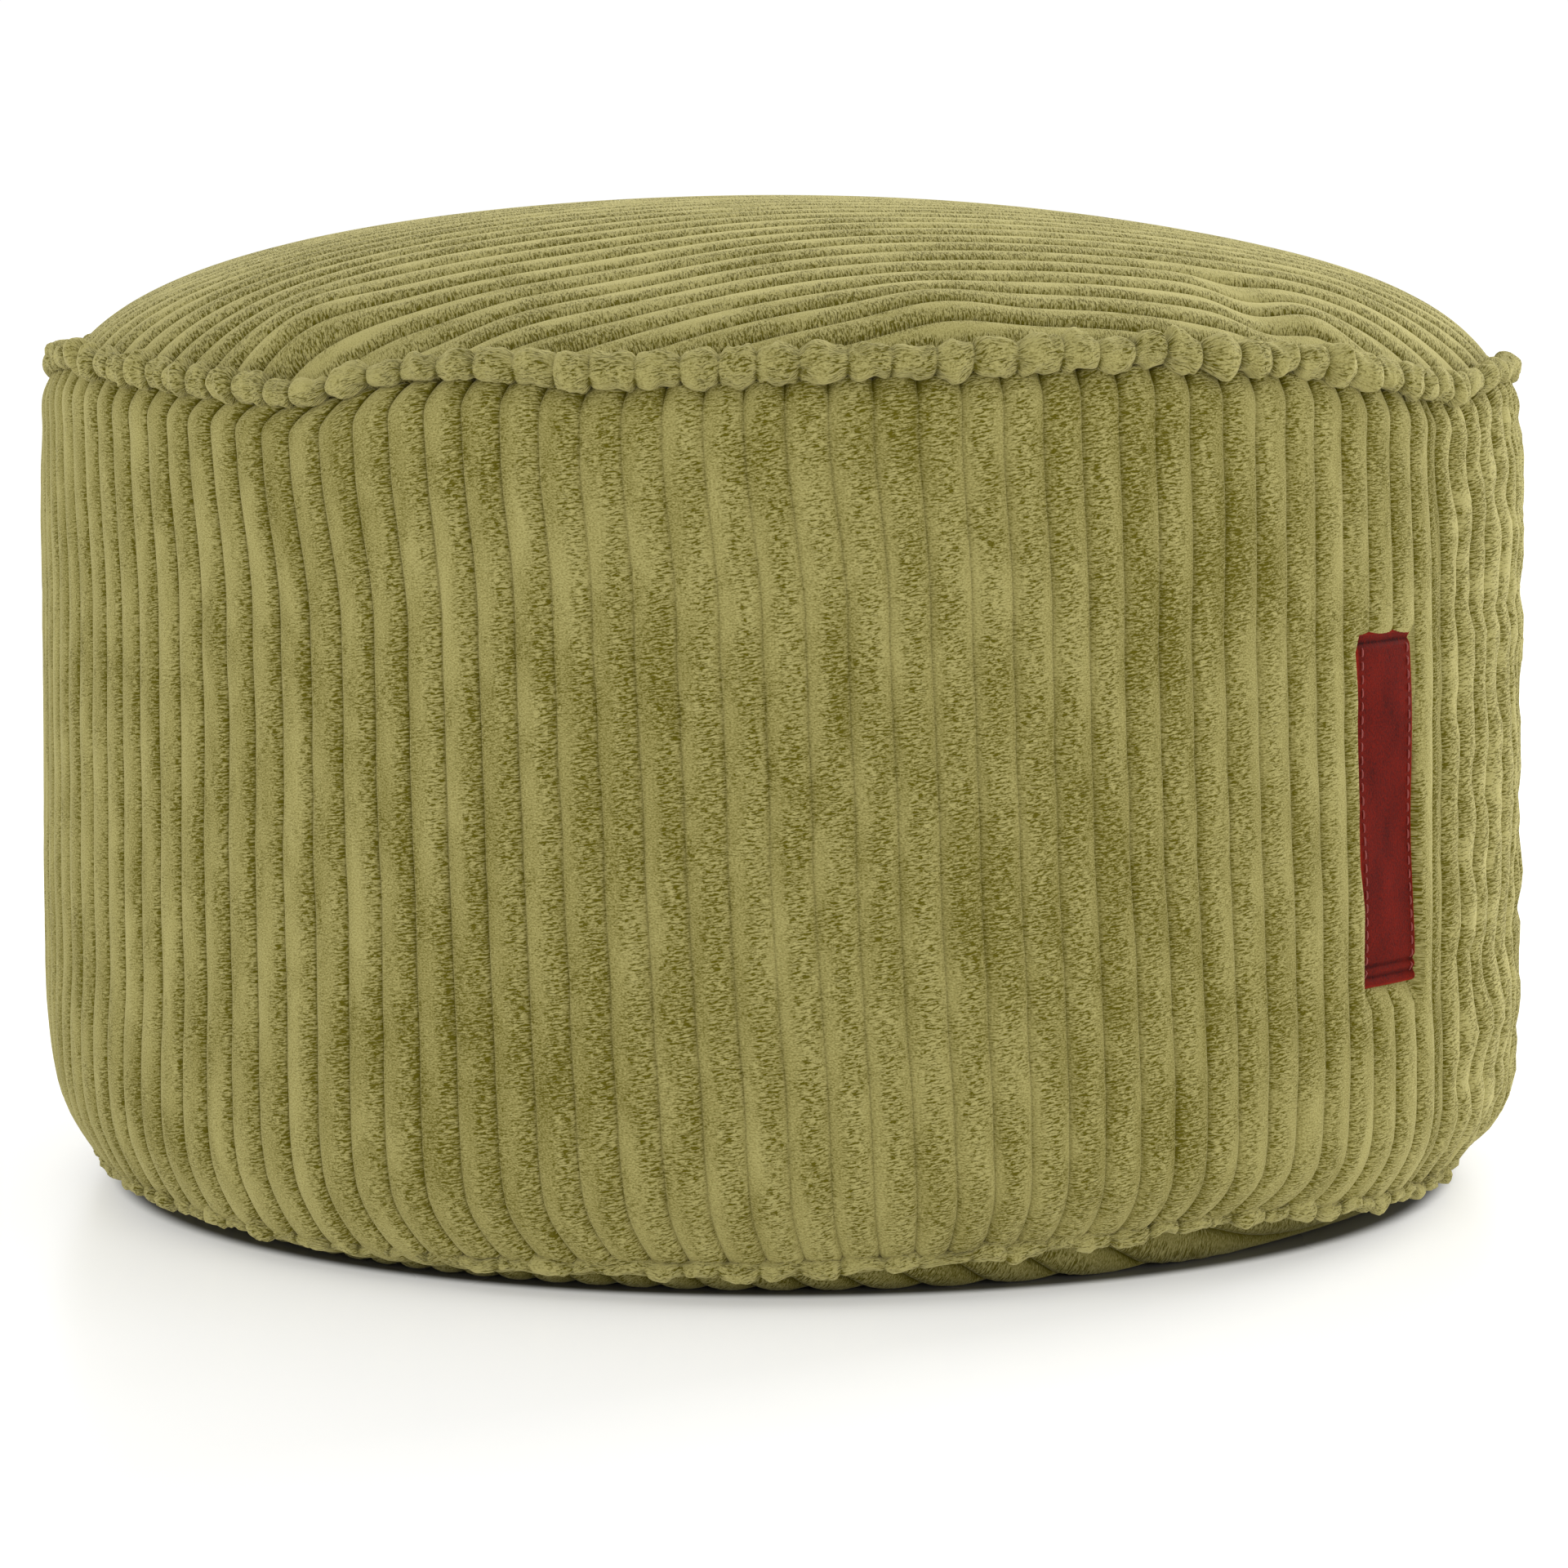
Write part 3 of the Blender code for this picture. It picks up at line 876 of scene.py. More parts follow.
@dataclass
class LeatherLabel:
    """Plain leather patch, sunk between the ribs, with its stitching."""

    azimuth_deg: float = 48.4  # of the middle of its top edge
    lean_deg: float = 1.36  # how far its lower edge lies to the right
    width: float = 0.030
    foot: float = 0.0859
    head: float = 0.1972
    thickness: float = 0.0020
    back_radius: float = 0.2463
    edge: float = 0.0012  # width of its rounded and worn edges
    corner: float = 0.0009  # how far its sides draw in at either end
    squareness: float = 0.25  # of its cross-section; 0 is a box
    bow: float = 0.0005  # how far it waves in and out
    creases: tuple[float, ...] = (0.0893, 0.0928, 0.1940)  # heights of its pressed folds
    crease_depth: float = 0.0009
    crease_width: float = 0.0010
    inset: float = 0.0026  # from an edge to its stitches
    stitch: float = 0.0030
    stitch_gap: float = 0.0012
    first_stitch: float = 0.0030  # above its foot
    last_stitch: float = 0.0040  # below its head
    thread: float = 0.00034  # radius of the thread

    def creased(self, height: Array, width: float) -> Array:
        """Sum of exp(-((z - crease) / width)^2) over the creases."""
        return sum(np.exp(-(((height - crease) / width) ** 2)) for crease in self.creases)

    def place(self, across: Array, height: Array, out: Array) -> Array:
        """Points on the bent label.

        Args:
            across: Metres from its middle line.
            height: Heights.
            out: Metres outwards from its back.

        Returns:
            Points at the azimuth of its leaning middle line plus across / RADIUS.
        """
        share = (height - self.foot) / (self.head - self.foot)
        out = out + self.bow * np.sin(share * 9.0 + across * 60.0)
        out = out - self.crease_depth * self.creased(height, self.crease_width)
        return on_circle(self.back_radius + out, self.middle(height) + across / RADIUS, height)

    def middle(self, height: Array) -> Array:
        """Azimuth of its middle line at a height."""
        share = (self.head - height) / (self.head - self.foot)
        return np.radians(self.azimuth_deg + self.lean_deg * share)

    def build_patch(self, material: Material) -> Object:
        """Closed patch: a rounded outline carried up the label, drawn in at both ends.

        Args:
            material: The leather.

        Returns:
            The patch.
        """
        turn = np.linspace(0.0, math.tau, 40, endpoint=False)
        rounding = self.edge * np.array([0.0, 0.25, 0.6])
        inner = np.linspace(self.foot + self.edge, self.head - self.edge, 160)
        heights = np.concatenate([self.foot + rounding, inner, self.head - rounding[::-1]])
        near_end = np.minimum(heights - self.foot, self.head - heights) / self.edge
        drawn = np.sqrt(np.clip(1.0 - (1.0 - np.clip(near_end, 0, 1)) ** 2, 0.02, 1.0))[:, None]
        side, face = rounded_loop(turn, self.squareness)
        across = side * (self.width / 2 - self.corner * (1.0 - drawn))
        out = self.thickness / 2 * (1.0 + face * drawn)
        points = self.place(across, heights[:, None], out)
        worn = eased(np.abs(across), self.width / 2 - self.edge, self.width / 2)
        worn = np.maximum(worn, 1.0 - smooth(near_end)[:, None])
        # Painted shade along the creases.
        worn = worn - 0.5 * self.creased(heights, 0.0006)[:, None]
        flat = flat_grid(np.append(turn, math.tau) * self.width / math.pi, heights)
        net = ClothNet(points, flat, {Mark.SHADE_AND_WEAR: worn}, closed_columns=True)
        net.close_ends()
        return net.piece("label_patch", material)

    def build_stitches(self, material: Material) -> Object:
        """Rows of short threads near both long edges, each a bent tube with closed ends.

        Args:
            material: The thread.

        Returns:
            All stitches as one mesh.
        """
        half = self.width / 2 - self.inset
        low, high = self.foot + self.first_stitch, self.head - self.last_stitch
        up = np.arange(low, high - self.stitch, self.stitch + self.stitch_gap)
        middles = np.repeat([-half, half], len(up))[:, None, None]
        starts = np.tile(up, 2)[:, None, None]
        share = np.array([0.0, 0.06, 0.3, 0.7, 0.94, 1.0])[:, None]
        girth = np.array([0.05, 0.8, 1.0, 1.0, 0.8, 0.05])[:, None]
        lift = np.array([-0.6, 0.0, 0.55, 0.55, 0.0, -0.6])[:, None]
        turn = np.linspace(0.0, math.tau, len(share), endpoint=False)
        across = middles + self.thread * girth * np.cos(turn)
        heights = starts + self.stitch * share
        out = self.thickness + self.thread * (lift + girth * np.sin(turn))
        points = self.place(across, heights, out).reshape(-1, 3)
        number = np.arange(len(points)).reshape(-1, len(share), len(turn))
        a, b = number[:, :-1], number[:, 1:]
        quads = np.stack([a, np.roll(a, -1, 2), np.roll(b, -1, 2), b], -1).reshape(-1, 4)
        groups = [quads, np.concatenate([number[:, 0, ::-1], number[:, -1]])]
        return add_piece(new_mesh("label_stitches", points, groups), points, groups, material)

    def pocket(self, azimuth: Array, height: Array, margin: float) -> Array:
        """Where the band is pressed in.

        Args:
            azimuth: Azimuths in radians.
            height: Heights.
            margin: Width of the step round the label, in metres.

        Returns:
            1 under the label and 0 clear of it, eased over the margin.
        """
        across = np.abs(azimuth - self.middle(height)) * RADIUS
        side = self.width / 2 + 0.0003
        beside = eased(across, side + margin, side)
        low, high = self.foot, self.head
        return beside * between(height, low - margin, low, high, high + margin)


@dataclass
class SideBand:
    """Ribbed band round the filling: a ring of cloth, closed inside."""

    label: LeatherLabel
    rib: RibShape = RibShape(0.0019, fullness=0.6)
    pocket_radius: float = 0.2462
    pocket_margin: float = 0.0009
    seam_rib: int = 18  # the narrow rib at which the band's two ends are sewn together
    # degrees that the grooves move to the right, from the one before the seam rib on
    shifts: tuple[float, ...] = (0, -0.2, -1.3, -1.4, -1.1, -0.9, 0.3, 1.3, 1.2, 0.6, 0)
    knots: tuple[ProfileKnot, ...] = (
        ProfileKnot("bottom seam", 0.2150, 0.0080, 1, 0, 0.3),
        ProfileKnot("under edge", 0.2330, 0.0098, 1, 0, 1),
        ProfileKnot("lower edge", 0.2448, 0.0260, 0.3, 0, 1),
        ProfileKnot("wall foot", 0.2506, 0.0600, 0, 0, 1),
        ProfileKnot("belly", 0.2508, 0.0810, 0, 0, 1),
        ProfileKnot("chest", 0.2497, 0.2020, 0, 0, 1),
        ProfileKnot("wall head", 0.2494, 0.2180, 0, 0.2, 1),
        ProfileKnot("shoulder", 0.2482, 0.2560, 0, 0.75, 1),
        ProfileKnot("rib ends", 0.2477, 0.2695, 0, 1, 1),
        ProfileKnot("stitch line", 0.2446, 0.2762, 0, 1, 1),
    )
    row_counts: tuple[int, ...] = (10, 36, 9, 12)  # under it, up its wall, its shoulder, its end
    # radius and height of the hidden rings that close it
    inside: tuple[tuple[float, float], ...] = ((0.238, 0.270), (0.220, 0.250), (0.210, 0.030))
    # creases lying across the right side: height, and how far the cloth bulges over each
    folds: tuple[tuple[float, float], ...] = (
        (0.020, 0.0010), (0.047, 0.0018), (0.090, 0.0014), (0.133, 0.0018), (0.165, 0.0016),
        (0.195, 0.0026), (0.258, 0.0),
    )
    fold_waves: Wave = Wave(0.0055, SoftNoise(35, 40, 9))  # how they run up and down
    rib_depths: Wave = Wave(0.12, SoftNoise(11, 66, 9), 0.3)  # share by which ribs differ
    painted_glints: Wave = Wave(1.25, SoftNoise(36, 260, 110))  # painted glints of the crumpled pile
    # waves of the ribs to the side, and of the cloth outwards, two everywhere and two in crumples
    sideways: tuple[Wave, ...] = (
        Wave(0.00055, SoftNoise(21, 44, 8)), Wave(0.00025, SoftNoise(22, 90, 20)),
        Wave(0.0015, SoftNoise(23, 30, 20)), Wave(0.0010, SoftNoise(24, 70, 38)),
    )
    outwards: tuple[Wave, ...] = (
        Wave(0.0007, SoftNoise(31, 14, 5)), Wave(0.0003, SoftNoise(32, 60, 14)),
        Wave(0.0007, SoftNoise(33, 40, 24)), Wave(0.0010, SoftNoise(34, 130, 60)),
    )

    def rows(self, profile: Profile) -> Array:
        """Rows of points, close together at the bends and one along each edge of the label.

        Args:
            profile: The band's profile.

        Returns:
            Lengths along it.
        """
        names = ("bottom seam", "lower edge", "wall head", "shoulder", "stitch line")
        bends = [profile.place(name) for name in names]
        under, wall, top, end = (
            np.linspace(start, stop, count, endpoint=False)
            for start, stop, count in zip(bends, bends[1:], self.row_counts)
        )
        low, high, edge = self.label.foot, self.label.head, self.label.edge
        for height in (low - edge, low, high, high + edge):
            wanted = profile.reach_at_height(height)
            wall[np.argmin(np.abs(wall - wanted))] = wanted
        return np.concatenate([under, np.sort(wall), top, end, bends[-1:]])

    def warp(self, phase: Array) -> Array:
        """Where ribs start, with the narrow seam rib drawn in.

        Args:
            phase: Phases, counted in ribs.

        Returns:
            Azimuths in radians, from -pi to pi.
        """
        past_seam = phase < self.seam_rib - RIB_COUNT + len(self.shifts) - 1
        phase = np.where(past_seam, phase + RIB_COUNT, phase)
        numbers = self.seam_rib - 1 + np.arange(len(self.shifts))
        shift = np.interp(phase, numbers, self.shifts, left=0.0, right=0.0)
        start = drifted(FIRST_GROOVE + phase * RIB_ANGLE) + np.radians(shift)
        return (start + math.pi) % math.tau - math.pi

    def build(self, material: Material) -> Object:
        """Band with its ribs raised along the outward normal of its profile.

        Args:
            material: The corduroy.

        Returns:
            The piece: P = profile + n (waves - depth (1 - crest)).
        """
        profile = Profile(self.knots)
        reach = self.rows(profile)
        line = profile.at(reach)
        tangent = np.gradient(line[:, :2], reach, axis=0)
        tangent /= np.linalg.norm(tangent, axis=1, keepdims=True)
        radius, height, seam_share, stitch_share, rib_share = line.T[..., None]
        out_r, out_z = tangent[:, 1, None], -tangent[:, 0, None]

        phase = self.rib.columns(self.seam_rib - RIB_COUNT, RIB_COUNT)
        start = self.warp(phase)
        azimuth = rib_azimuth(start, height) + self.wander(start, height) / RADIUS
        every = np.ones_like(height)
        crest = self.rib.crest(phase) * every
        in_seam = (np.floor(phase) % RIB_COUNT == self.seam_rib) * every
        depth = self.rib.depth * rib_share * (1.0 + self.rib_depths.at(start, height))
        depth = depth * (1.0 + 0.9 * self.crumple(start) + 0.4 * eased(height, 0.268, 0.274))
        out = self.swell(start, height) - depth * (1.0 - crest * (1.0 - 0.45 * in_seam))
        lift = seam_share * around(azimuth, Line.SEAM_LIFT)
        lift = lift + stitch_share * around(azimuth, Line.STITCH_LIFT)
        # Darker on the seam rib; painted shade on the underside by the bottom seam; plus the
        # painted shade and painted glints from shade().
        wear = 0.18 * in_seam + 0.7 * eased(radius, 0.2320, 0.2270)
        wear = wear + self.shade(start, phase, height)
        radius = radius + seam_share * around(azimuth, Line.FOOT_OUT) + out_r * out
        pocket = self.label.pocket(azimuth, height, self.pocket_margin)
        radius = radius + pocket * (np.minimum(radius, self.pocket_radius) - radius)
        points = on_circle(radius, azimuth, height + lift + out_z * out)

        hidden = [on_circle(r, azimuth[-1] if z > 0.1 else azimuth[0], z) for r, z in self.inside]
        along = reach[-1] + 0.01 * np.arange(1, len(hidden) + 2)
        across = np.append(phase, phase[0] + RIB_COUNT) * RIB_PITCH
        filler = np.ones((len(hidden), len(phase)))
        net = ClothNet(
            np.concatenate([points, hidden]),
            flat_grid(across, np.concatenate([reach, along])),
            {
                Mark.CREST: np.concatenate([crest, filler]),
                Mark.RUFFLED: np.concatenate([self.ruffled(start, phase) * every, 0 * filler]),
                Mark.SHADE_AND_WEAR: np.concatenate([wear, filler]),
            },
            closed_rows=True,
            closed_columns=True,
        )
        return net.piece("side_band_cloth", material)

    def ruffled(self, azimuth: Array, phase: Array) -> Array:
        """How much the nap is ruffled.

        Args:
            azimuth: Azimuths in radians.
            phase: Phases, counted in ribs.

        Returns:
            exp(-((f - 12) / 36)^2) where a rib's skin faces the azimuth f, in degrees, half as much
            on the back, at least 0.15 and 0.6 more in the crumples.
        """
        degrees = np.degrees(azimuth)
        faces = degrees + 52.0 * (2.0 * (phase % 1.0) - 1.0)
        share = np.exp(-(((faces - 12.0) / 36.0) ** 2)) * (1.0 - 0.25 * eased(degrees, 25.0, 40.0))
        behind = eased(np.abs(degrees), 80.0, 110.0) * (0.50 + 0.30 * self.rib.flank(phase))
        return np.maximum(np.maximum(share, behind), 0.15) + 0.6 * between(degrees, *CRUMPLED)

    def shade(self, azimuth: Array, phase: Array, height: Array) -> Array:
        """How much painted shade darkens the pile, less painted glints.

        Args:
            azimuth: Azimuths in radians.
            phase: Phases, counted in ribs.
            height: Heights.

        Returns:
            The sum of painted shade: a little away from the crest at the sides, more by the floor
            and in the ends of the grooves right under the beads; less painted glints, paler flecks
            in the crumples.
        """
        away = np.abs(2.0 * (phase % 1.0) - 1.0) ** 1.7
        side = eased(np.abs(np.degrees(azimuth)), 10.0, 34.0)
        painted_glints = np.maximum(self.painted_glints.at(azimuth, height) - 0.25 * self.painted_glints.size, 0.0)
        return (
            away * (0.17 * side - 0.02)
            + 0.12 * eased(height, 0.018, 0.006)
            + 0.40 * away**2 * eased(height, 0.266, 0.274)
            + 0.50 * away**5 * eased(height, 0.271, 0.275)
            - painted_glints * np.maximum(self.crumple(azimuth) - 0.1, 0.0)
        )

    def layers(self, azimuth: Array, height: Array, waves: tuple[Wave, ...]) -> Array:
        """Sum of waves, the latter half of which swell up only where the band is crumpled."""
        first, second, third, fourth = (wave.at(azimuth, height) for wave in waves)
        return first + second + self.crumple(azimuth) * (third + fourth)

    def wander(self, azimuth: Array, height: Array) -> Array:
        """How far the ribs stray sideways, in metres: waves, and a share of the folds."""
        return self.layers(azimuth, height, self.sideways) + 1.90 * self.folded(azimuth, height)

    def swell(self, azimuth: Array, height: Array) -> Array:
        """How far the cloth stands out or in.

        Args:
            azimuth: Azimuths in radians.
            height: Heights.

        Returns:
            Metres: waves, a share of the folds, and the bulge exp(-((z - 0.025) / 0.020)^2) of the
            cloth that hangs over the bottom seam at the right.
        """
        waves = self.layers(azimuth, height, self.outwards)
        hanging = between(np.degrees(azimuth), 68.0, 82.0, *CRUMPLED[2:])
        bulge = 0.0046 * hanging * np.exp(-(((height - 0.025) / 0.020) ** 2))
        return bulge + waves + 0.45 * self.folded(azimuth, height)

    def folded(self, azimuth: Array, height: Array) -> Array:
        """How far the cloth bulges between the creases across the crumpled side, in metres.

        Args:
            azimuth: Azimuths in radians.
            height: Heights.

        Returns:
            bulge (sin(pi t)^0.7 - 0.5) at the share t of the way from one crease to the next.
        """
        creases, bulges = np.array(self.folds).T
        moved = height + self.fold_waves.at(azimuth, height)
        count = np.interp(moved, creases, np.arange(len(creases)))
        share = np.sin(math.pi * (count % 1.0)) ** 0.7
        bulge = bulges[np.clip(np.floor(count).astype(int), 0, len(bulges) - 1)]
        ends = eased(moved, creases[0], creases[0] + 0.02)
        ends = ends * eased(moved, creases[-1], creases[-1] - 0.02)
        return self.crumple(azimuth) * ends * bulge * (share - 0.5)

    def crumple(self, azimuth: Array) -> Array:
        """1 where the band is crumpled, by the seam in its right side, and less elsewhere."""
        return np.maximum(between(np.degrees(azimuth), *CRUMPLED), 0.08)


@dataclass
class SeamBeads:
    """Ring of cloth beads: the turned-over edge of a panel, pulled in once for each rib."""

    name: str
    radius: float  # of the line through the beads' middles
    height: float
    half_width: float
    half_height: float
    line: Line
    out_line: Line | None = None
    waist: float = 0.66  # girth between two beads at the front, as a share of a bead's
    slimmer: float = 0.20  # how much slimmer that is at the sides and behind
    uneven: float = 1.0  # how much each bead differs, beside the spreads
    spreads: tuple[float, ...] = (0.10, 0.0005, 0.0005, 0.16)  # of size, way out, way up and tilt
    knobs: float = 0.20  # how knobbly each bead is
    shade_between: float = 1.3  # painted shade: how much darker the pile is painted where two beads meet
    steps: int = 18
    loops: int = 22
    seed: int = 5
    # stretches of smaller beads: by how much, and four azimuths as between() takes them
    smaller: tuple[tuple[float, ...], ...] = (
        (0.28, -44, -38, -26, -20), (0.22, 58, 64, 100, 120), (0.20, -130, -110, -70, -60),
    )

    def shift(self, azimuth: Array) -> Array:
        """How far a bead sits to the right of its rib, in ribs: a third but for the left side."""
        return 0.37 * eased(np.degrees(azimuth), -48.0, -24.0)

    def build(self, material: Material) -> Object:
        """Ring of beads.

        Args:
            material: The corduroy.

        Returns:
            The piece: a loop of half_width by half_height carried round the drum, whose girth is
            waist + (1 - waist) sqrt(1 - |2p - 1|^2.1) at the phase p of each bead. Painted shade
            darkens its pile where two beads meet, by (1 - that root)^2, on their lower side and, at
            the sides, all round.
        """
        share = np.arange(self.steps) / self.steps
        share = share + 0.04 * np.sin(math.tau * share)
        phase = (np.arange(RIB_COUNT)[:, None] + share).ravel()
        number = np.floor(phase).astype(int)
        inside = phase - number
        peak = self.uneven * np.sin(math.pi * inside)
        rng = np.random.default_rng(self.seed)
        size, out, up, tilt = (
            spread * peak * rng.normal(0.0, 1.0, RIB_COUNT)[number] for spread in self.spreads
        )
        edges = 0.06 * self.uneven * rng.normal(0.0, 1.0, RIB_COUNT)
        length = 1.0 + edges[(number + 1) % RIB_COUNT] - edges[number]
        placed = number + edges[number] + inside * length
        azimuth = drifted(FIRST_GROOVE + placed * RIB_ANGLE)
        azimuth = (azimuth + math.pi) % math.tau - math.pi
        azimuth = azimuth + self.shift(azimuth) * RIB_ANGLE
        degrees = np.degrees(azimuth)
        apart = eased(np.abs(degrees), 18.0, 34.0)
        waist = self.waist - self.slimmer * apart
        round_share = np.sqrt(np.maximum(1.0 - np.abs(2.0 * inside - 1.0) ** 2.1, 0.0))
        girth = (waist + (1.0 - waist) * round_share) * (1.0 + size)
        girth = girth * (1.0 - sum(less * between(degrees, *edge) for less, *edge in self.smaller))

        turn = np.linspace(0.0, math.tau, self.loops, endpoint=False)[:, None]
        turns = (phase / RIB_COUNT, turn / math.tau)
        lobes = SoftNoise(self.seed + 1, 4 * RIB_COUNT, 8).at(*turns)
        lobes = lobes + 0.6 * SoftNoise(self.seed + 2, 8 * RIB_COUNT, 15).at(*turns)
        scale = girth * (1.0 + self.knobs * lobes)
        wide, high = rounded_loop(turn, 0.92)
        radius = self.radius + out - 0.0014 * eased(np.abs(degrees), 64.0, 78.0)
        radius = radius + self.half_width * scale * wide
        if self.out_line:
            radius = radius + around(azimuth, self.out_line)
        local = self.half_height * scale * high
        height = self.height + around(azimuth, self.line) + up + local
        azimuth = azimuth + tilt * local / RADIUS
        points = on_circle(radius, azimuth, np.maximum(height, 0.0003))

        across = np.append(phase, RIB_COUNT) * RIB_PITCH
        along = np.linspace(0.0, 4.0 / 1.3 * (self.half_width + self.half_height), self.loops + 1)
        every = np.ones_like(turn)
        # Painted shade between the beads: on their lower side, and all round them at the sides.
        low = np.maximum(smooth(-0.1 - 1.3 * np.sin(turn)), 0.6 * apart)
        marks = {
            Mark.CREST: np.sqrt(round_share) * every,
            Mark.RUFFLED: (0.55 - 0.15 * np.sin(math.tau * inside)) * every,
            Mark.SHADE_AND_WEAR: self.shade_between * (1.0 - round_share) ** 2 * low,
        }
        flat = flat_grid(across, along)
        net = ClothNet(points, flat, marks, closed_rows=True, closed_columns=True)
        return net.piece(self.name, material)


@dataclass
class RoundPanel:
    """Round corduroy panel with straight ribs, laid over a turned profile by its length."""

    name: str
    turn_deg: float
    knots: tuple[tuple[float, float], ...]  # radius and height from the middle out
    rib: RibShape
    columns: int
    close: tuple[float, float]  # scale and height of the hidden ring that closes it
    up: bool  # whether its outer side faces up
    cloth: float = 0.6  # metres of cloth after which its soft waves repeat

    def build(self, material: Material) -> Object:
        """Panel with its ribs raised along the normal.

        Args:
            material: The corduroy.

        Returns:
            The piece. A point (c, a) of the flat cloth, c across the ribs and a along them, lies
            at the length sqrt(c^2 + a^2) along the profile, in the same direction.
        """
        most = self.reach()[-1]
        ribs = math.ceil(most / RIB_PITCH) + 1
        phase = self.rib.columns(-ribs, 2 * ribs)
        phase = phase[np.abs(phase * RIB_PITCH) < most - 0.0006]
        offset = np.concatenate([[-most + 0.0002], phase * RIB_PITCH, [most - 0.0002]])
        phase = np.concatenate([[-most / RIB_PITCH], phase, [most / RIB_PITCH]])[:, None]
        chord = np.sqrt(most**2 - offset**2)[:, None]
        along = chord * np.sin(np.linspace(-1.0, 1.0, self.columns) * math.pi / 2)
        every = np.ones_like(along)
        across = offset[:, None] * every
        points, normal = self.surface(across, along)
        crest = self.rib.crest(phase) * every
        noise = SoftNoise(41 + int(self.up), 40, 16)
        uneven = noise.at(across / self.cloth + 0.5, along / self.cloth + 0.5)
        depth = self.rib.depth * (1.0 + 0.12 * uneven)
        points = points - normal * (depth * (1.0 - crest))[..., None]
        marks = {
            Mark.CREST: crest,
            Mark.RUFFLED: 0.5 + self.rib.flank(phase) * every * (-0.4 if self.up else 0.4),
            # Painted shade: the bottom panel is darker all over and more in its grooves.
            Mark.SHADE_AND_WEAR: (0.0 if self.up else 1.0) * (0.12 + 0.70 * (1.0 - crest)),
        }
        net = ClothNet(points, np.stack([across, along], -1), marks)
        net.close_inside(*self.close)
        return net.piece(self.name, material)

    def reach(self) -> Array:
        """Length along the profile at which each knot lies."""
        steps = np.hypot(*np.diff(np.array(self.knots), axis=0).T)
        return np.concatenate([[0.0], np.cumsum(steps)])

    def surface(self, across: Array, along: Array) -> tuple[Array, Array]:
        """Cloth without its ribs.

        Args:
            across: Metres of cloth across the ribs.
            along: Metres of cloth along the ribs.

        Returns:
            Points and outward unit normals, the normals from steps of half a millimetre.
        """
        step = 0.0005
        points = self.laid(across, along)
        right = self.laid(across + step, along) - self.laid(across - step, along)
        ahead = self.laid(across, along + step) - self.laid(across, along - step)
        normal = np.cross(right, ahead)
        normal /= np.linalg.norm(normal, axis=-1, keepdims=True)
        middle = normal[normal.shape[0] // 2, normal.shape[1] // 2, 2]
        return points, normal if (middle > 0) == self.up else -normal

    def laid(self, across: Array, along: Array) -> Array:
        """Places of points of the flat cloth.

        Args:
            across: Metres of cloth across the ribs.
            along: Metres of cloth along the ribs.

        Returns:
            Points turned by turn_deg, as far from the middle along the profile as on the cloth.
        """
        radii, heights = np.array(self.knots).T
        across = across + 0.0006 * SoftNoise(51, 12, 12).at(across / self.cloth, along / self.cloth)
        length = np.maximum(np.hypot(across, along), 1e-9)
        radius = np.interp(length, self.reach(), radii)
        height = np.interp(length, self.reach(), heights)
        cos, sin = math.cos(math.radians(self.turn_deg)), math.sin(math.radians(self.turn_deg))
        x = radius * (along * cos - across * sin) / length
        y = radius * (along * sin + across * cos) / length
        return np.stack([x, y, np.maximum(height + self.waves(x, y), 0.0002)], -1)

    def waves(self, x: Array, y: Array) -> Array:
        """Height that the sewn edge and the hollows add.

        Args:
            x: Places across the drum.
            y: Places from the front to the back.

        Returns:
            Metres: the line of the seam, fading inwards, less depth exp(-(d / reach)^2) at the
            distance d from each hollow.
        """
        radius, azimuth = np.hypot(x, y), np.arctan2(x, -y)
        if not self.up:
            lift = np.clip((radius - 0.2125) / 0.0045, 0.0, 1.0)
            return lift * around(azimuth, Line.SEAM_LIFT)
        height = around(azimuth, Line.STITCH_LIFT) * np.clip(radius / 0.2385, 0, 1.02) ** 10.0
        for hollow in HOLLOWS:
            spot = on_circle(hollow.radius, np.radians(hollow.azimuth_deg), 0.0)
            away = ((x - spot[0]) ** 2 + (y - spot[1]) ** 2) / hollow.reach**2
            height = height - hollow.depth * np.exp(-away)
        return height


def crown_knots() -> tuple[tuple[float, float], ...]:
    """Profile of the crown, part of an ellipse: z = rim + rise sqrt(1 - (r / reach)^2).

    Returns:
        Its radii and heights.
    """
    rim, rise, reach = 0.2722, 0.058, 0.2415
    edge = 0.2408  # where the panel ends, just inside the reach
    radius = edge * np.sin(np.linspace(0.0, math.pi / 2, 200))
    height = rim + rise * np.sqrt(1.0 - (radius / reach) ** 2)
    return tuple(zip(radius.tolist(), height.tolist()))


def foot_knots() -> tuple[tuple[float, float], ...]:
    """Profile of the bottom panel: flat on the floor, then round and up to its seam.

    Returns:
        Its radii and heights.
    """
    flat, bend = 0.209, 0.2105  # radii at which the flat part ends and the bend starts
    out, up = 0.0063, 0.0068  # how far the bend reaches
    turn = np.linspace(0.0, math.pi / 2, 12)
    inner = np.linspace(0.0, flat, 60)
    radius = np.concatenate([inner, bend + out * np.sin(turn)])
    height = np.concatenate([np.zeros_like(inner), up * (1.0 - np.cos(turn))])
    return tuple(zip(radius.tolist(), height.tolist()))


@dataclass(frozen=True)
class Softbox:
    """An area light that looks at the middle of the footstool."""

    name: str
    place: Triple
    size: float
    power: float
    target: Triple = (0.0, 0.0, 0.16)

    def add(self) -> None:
        """Puts the light into the scene."""
        data = bpy.data.lights.new(self.name, "AREA")
        data.energy, data.size = self.power, self.size
        lamp = add_object(self.name, data)
        lamp.location = self.place
        aim = Vector(self.target) - Vector(self.place)
        lamp.rotation_euler = aim.to_track_quat("-Z", "Y").to_euler()


